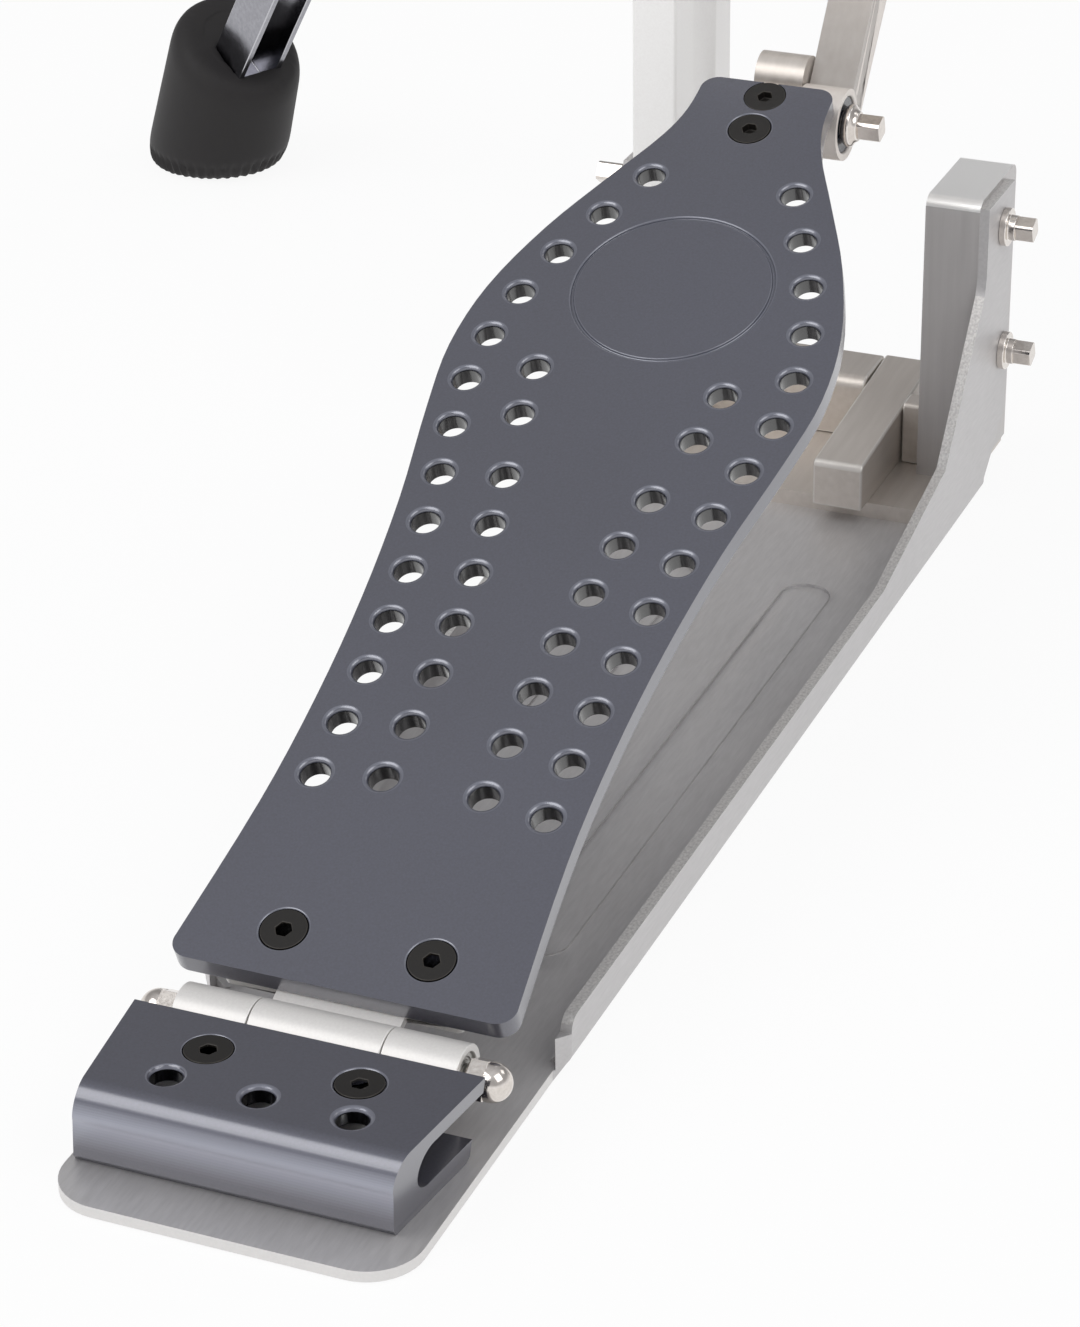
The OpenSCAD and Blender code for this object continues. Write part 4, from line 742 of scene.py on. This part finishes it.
def felt(name, node, z0, z1, r_out, r_in):
    """A felt washer with a slightly uneven skin."""
    profile = felt_profile(z0, z1, r_out, r_in)
    verts, faces, n = [], [], len(profile)
    for i in range(FELT_STEPS):
        a = 2 * math.pi * i / FELT_STEPS
        for r, z in profile:
            p = Vector((r * math.cos(a), r * math.sin(a), z))
            w = noise.noise(p * 0.35) * FELT_WAVE
            if r > r_in + 0.5:
                p += Vector((math.cos(a), math.sin(a), 0)) * min(0, w)
            verts.append(p * MM)
    for i in range(FELT_STEPS):
        for k in range(n):
            a, b = i * n + k, i * n + (k + 1) % n
            c, d = ((i + 1) % FELT_STEPS) * n + (k + 1) % n, ((i + 1) % FELT_STEPS) * n + k
            faces.append((a, d, c, b))
    mesh = mesh_of(name, verts, faces)
    facing_out(mesh)
    obj = piece_of(name, mesh, NODE_BODY[node], "felt_grey", node)


def felts():
    low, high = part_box("seat_felt")
    felt("seat_felt_pad", "seat_felt", low.z / MM, high.z / MM, high.x / MM, SEAT_FELT_BORE)
    low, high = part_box("clutch_felts")
    z0, z1, r_out = low.z / MM, high.z / MM, high.x / MM
    felt("clutch_felt_low", "clutch_felts", z0, z0 + FELT_THICK, r_out, CLUTCH_FELT_BORE)
    felt("clutch_felt_high", "clutch_felts", z1 - FELT_THICK, z1, r_out, CLUTCH_FELT_BORE)


# Rubber feet, in millimetres and radians: the boot stands at this distance and lean, and ends so far
# up the leg, whose end, spread and heading are those of the CAD
BOOT_OUT, BOOT_LEAN, BOOT_UP = 355, math.radians(20), 38
LEG_SPREAD, LEG_END, LEG_HEADING = math.radians(34), (350.66, 16.98), math.radians(62)
BOOT_VOXEL, BOOT_CORE, BOOT_GROWTH, BOOT_PASSES = 1.2, 15, 2.6, 6
SHOULDER, SHOULDER_ROUND, SOLE, SOLE_ROUND = 9, 5, 13, 4
TEETH, TEETH_TOP, TEETH_FULL, TEETH_DEPTH = 44, 9, 3, 1.5
GROUND = 0.02


def rounding(t):
    """How far a quarter circle falls away, from 0 where t is 0 to 1 where t is 1."""
    t = min(1, max(0, t))
    return 1 - math.sqrt(1 - t * t)


def voxel_mesh(node):
    """The node's solid as one even mesh."""
    obj = bpy.data.objects.new(node + "_raw", frame["nodes"][node].data.copy())
    bpy.context.scene.collection.objects.link(obj)
    remesh = obj.modifiers.new("voxels", "REMESH")
    remesh.mode = "VOXEL"
    remesh.voxel_size = BOOT_VOXEL * MM
    bpy.context.view_layer.update()
    mesh = bpy.data.meshes.new_from_object(obj.evaluated_get(bpy.context.evaluated_depsgraph_get()))
    bpy.data.objects.remove(obj)
    return mesh


def boot(node, side):
    """A moulded boot with rounded shoulders and a toothed rim round the sole."""
    mesh = voxel_mesh(node)
    a = math.pi / 2 - side * LEG_HEADING
    out = Vector((math.cos(a), math.sin(a), 0))
    base = out * (BOOT_OUT * MM)
    axis = Vector((0, 0, math.cos(BOOT_LEAN))) - out * math.sin(BOOT_LEAN)
    leg = Vector((0, 0, math.cos(LEG_SPREAD))) - out * math.sin(LEG_SPREAD)
    end = out * (LEG_END[0] * MM) + Vector((0, 0, LEG_END[1] * MM))
    for v in mesh.vertices:
        along = (v.co - base).dot(axis)
        away = v.co - base - axis * along
        far = away.length / MM
        z = v.co.z / MM
        if far > BOOT_CORE:
            top = (v.co - end).dot(leg) / MM
            pull = SHOULDER_ROUND * rounding((top - BOOT_UP + SHOULDER) / SHOULDER) - BOOT_GROWTH
            pull += SOLE_ROUND * rounding((SOLE - z) / SOLE)
            v.co -= away.normalized() * min(pull, far - BOOT_CORE + 2) * MM
        v.co.z = max(v.co.z, GROUND * MM)
    bm = bmesh.new()
    bm.from_mesh(mesh)
    for _ in range(BOOT_PASSES):
        bmesh.ops.smooth_vert(bm, verts=bm.verts, factor=0.5,
                              use_axis_x=True, use_axis_y=True, use_axis_z=True)
    for v in bm.verts:
        away = Vector((v.co.x - base.x, v.co.y - base.y, 0))
        z = v.co.z / MM
        if away.length > (BOOT_CORE + 2) * MM and z < TEETH_TOP:
            teeth = 0.5 + 0.5 * math.cos(TEETH * math.atan2(away.y, away.x))
            depth = TEETH_DEPTH * teeth * min(1, (TEETH_TOP - z) / TEETH_FULL)
            v.co -= away.normalized() * depth * MM
        v.co.z = max(v.co.z, GROUND * MM)
    bm.to_mesh(mesh)
    bm.free()
    mesh.polygons.foreach_set("use_smooth", [True] * len(mesh.polygons))
    piece_of(node + "_boot", mesh, NODE_BODY[node], "foot_rubber", node)


look()
world()
floor()
softbox("key", (-1.3, -1.9, 2.3), (0, -0.2, 0.1), (2.4, 2.0), 38)
softbox("side", (1.9, -0.8, 2.3), (0, -0.1, 0.1), (1.8, 2.0), 22)
softbox("rear", (1.9, 1.9, 2.4), (0, -0.1, 0.1), (1.2, 1.0), 5)

# Nodes with a piece of their own below; rounding widths in millimetres; reshaping, and painting of light and
# shade, per node
SPECIAL = {"tension_spring", "seat_felt", "clutch_felts", "left_foot", "right_foot", "base_plate"}
WIDTHS = {"footboard": 0.55, "heel_plate": 0.6, "left_post": 0.9, "right_post": 1.6, "tie_plate": 0.5,
          "spacer_bar": 0.8, "stop_block": 0.8, "rear_bridge": 0.8, "toe_bracket": 0.6, "drive_link": 0.7,
          "top_bridge": 0.8}
USUAL_WIDTH, SMALL_WIDTH, PLATE_WIDTH = 0.35, 0.2, 0.3
SMALL_SLOTS = ("black_screw", "bearing_dark", "pin_steel")
RESHAPED = {"spacer_bar": taller(5), "rear_bridge": taller(4.5), "stop_block": taller(3),
            "right_post": stub_size, "tie_plate": cropped_tie, "post_bolts": longer_left_bolts,
            "heel_plate": heel_strips}
PAINTED_LIGHT_AND_SHADE = {"footboard": board_hole_shade, "heel_plate": heel_painted_light, "right_post": stub_painted_highlight}
for name in frame["nodes"]:
    if name not in SPECIAL:
        usual = SMALL_WIDTH if SLOT_OF[name] in SMALL_SLOTS else USUAL_WIDTH
        dress(name, WIDTHS.get(name, usual), first=RESHAPED.get(name), last=PAINTED_LIGHT_AND_SHADE.get(name))
dress("base_plate", PLATE_WIDTH, first=soft_bends, last=sheared)
soft_rib(-1)
soft_rib(1)
spring()
felts()
boot("left_foot", -1)
boot("right_foot", 1)
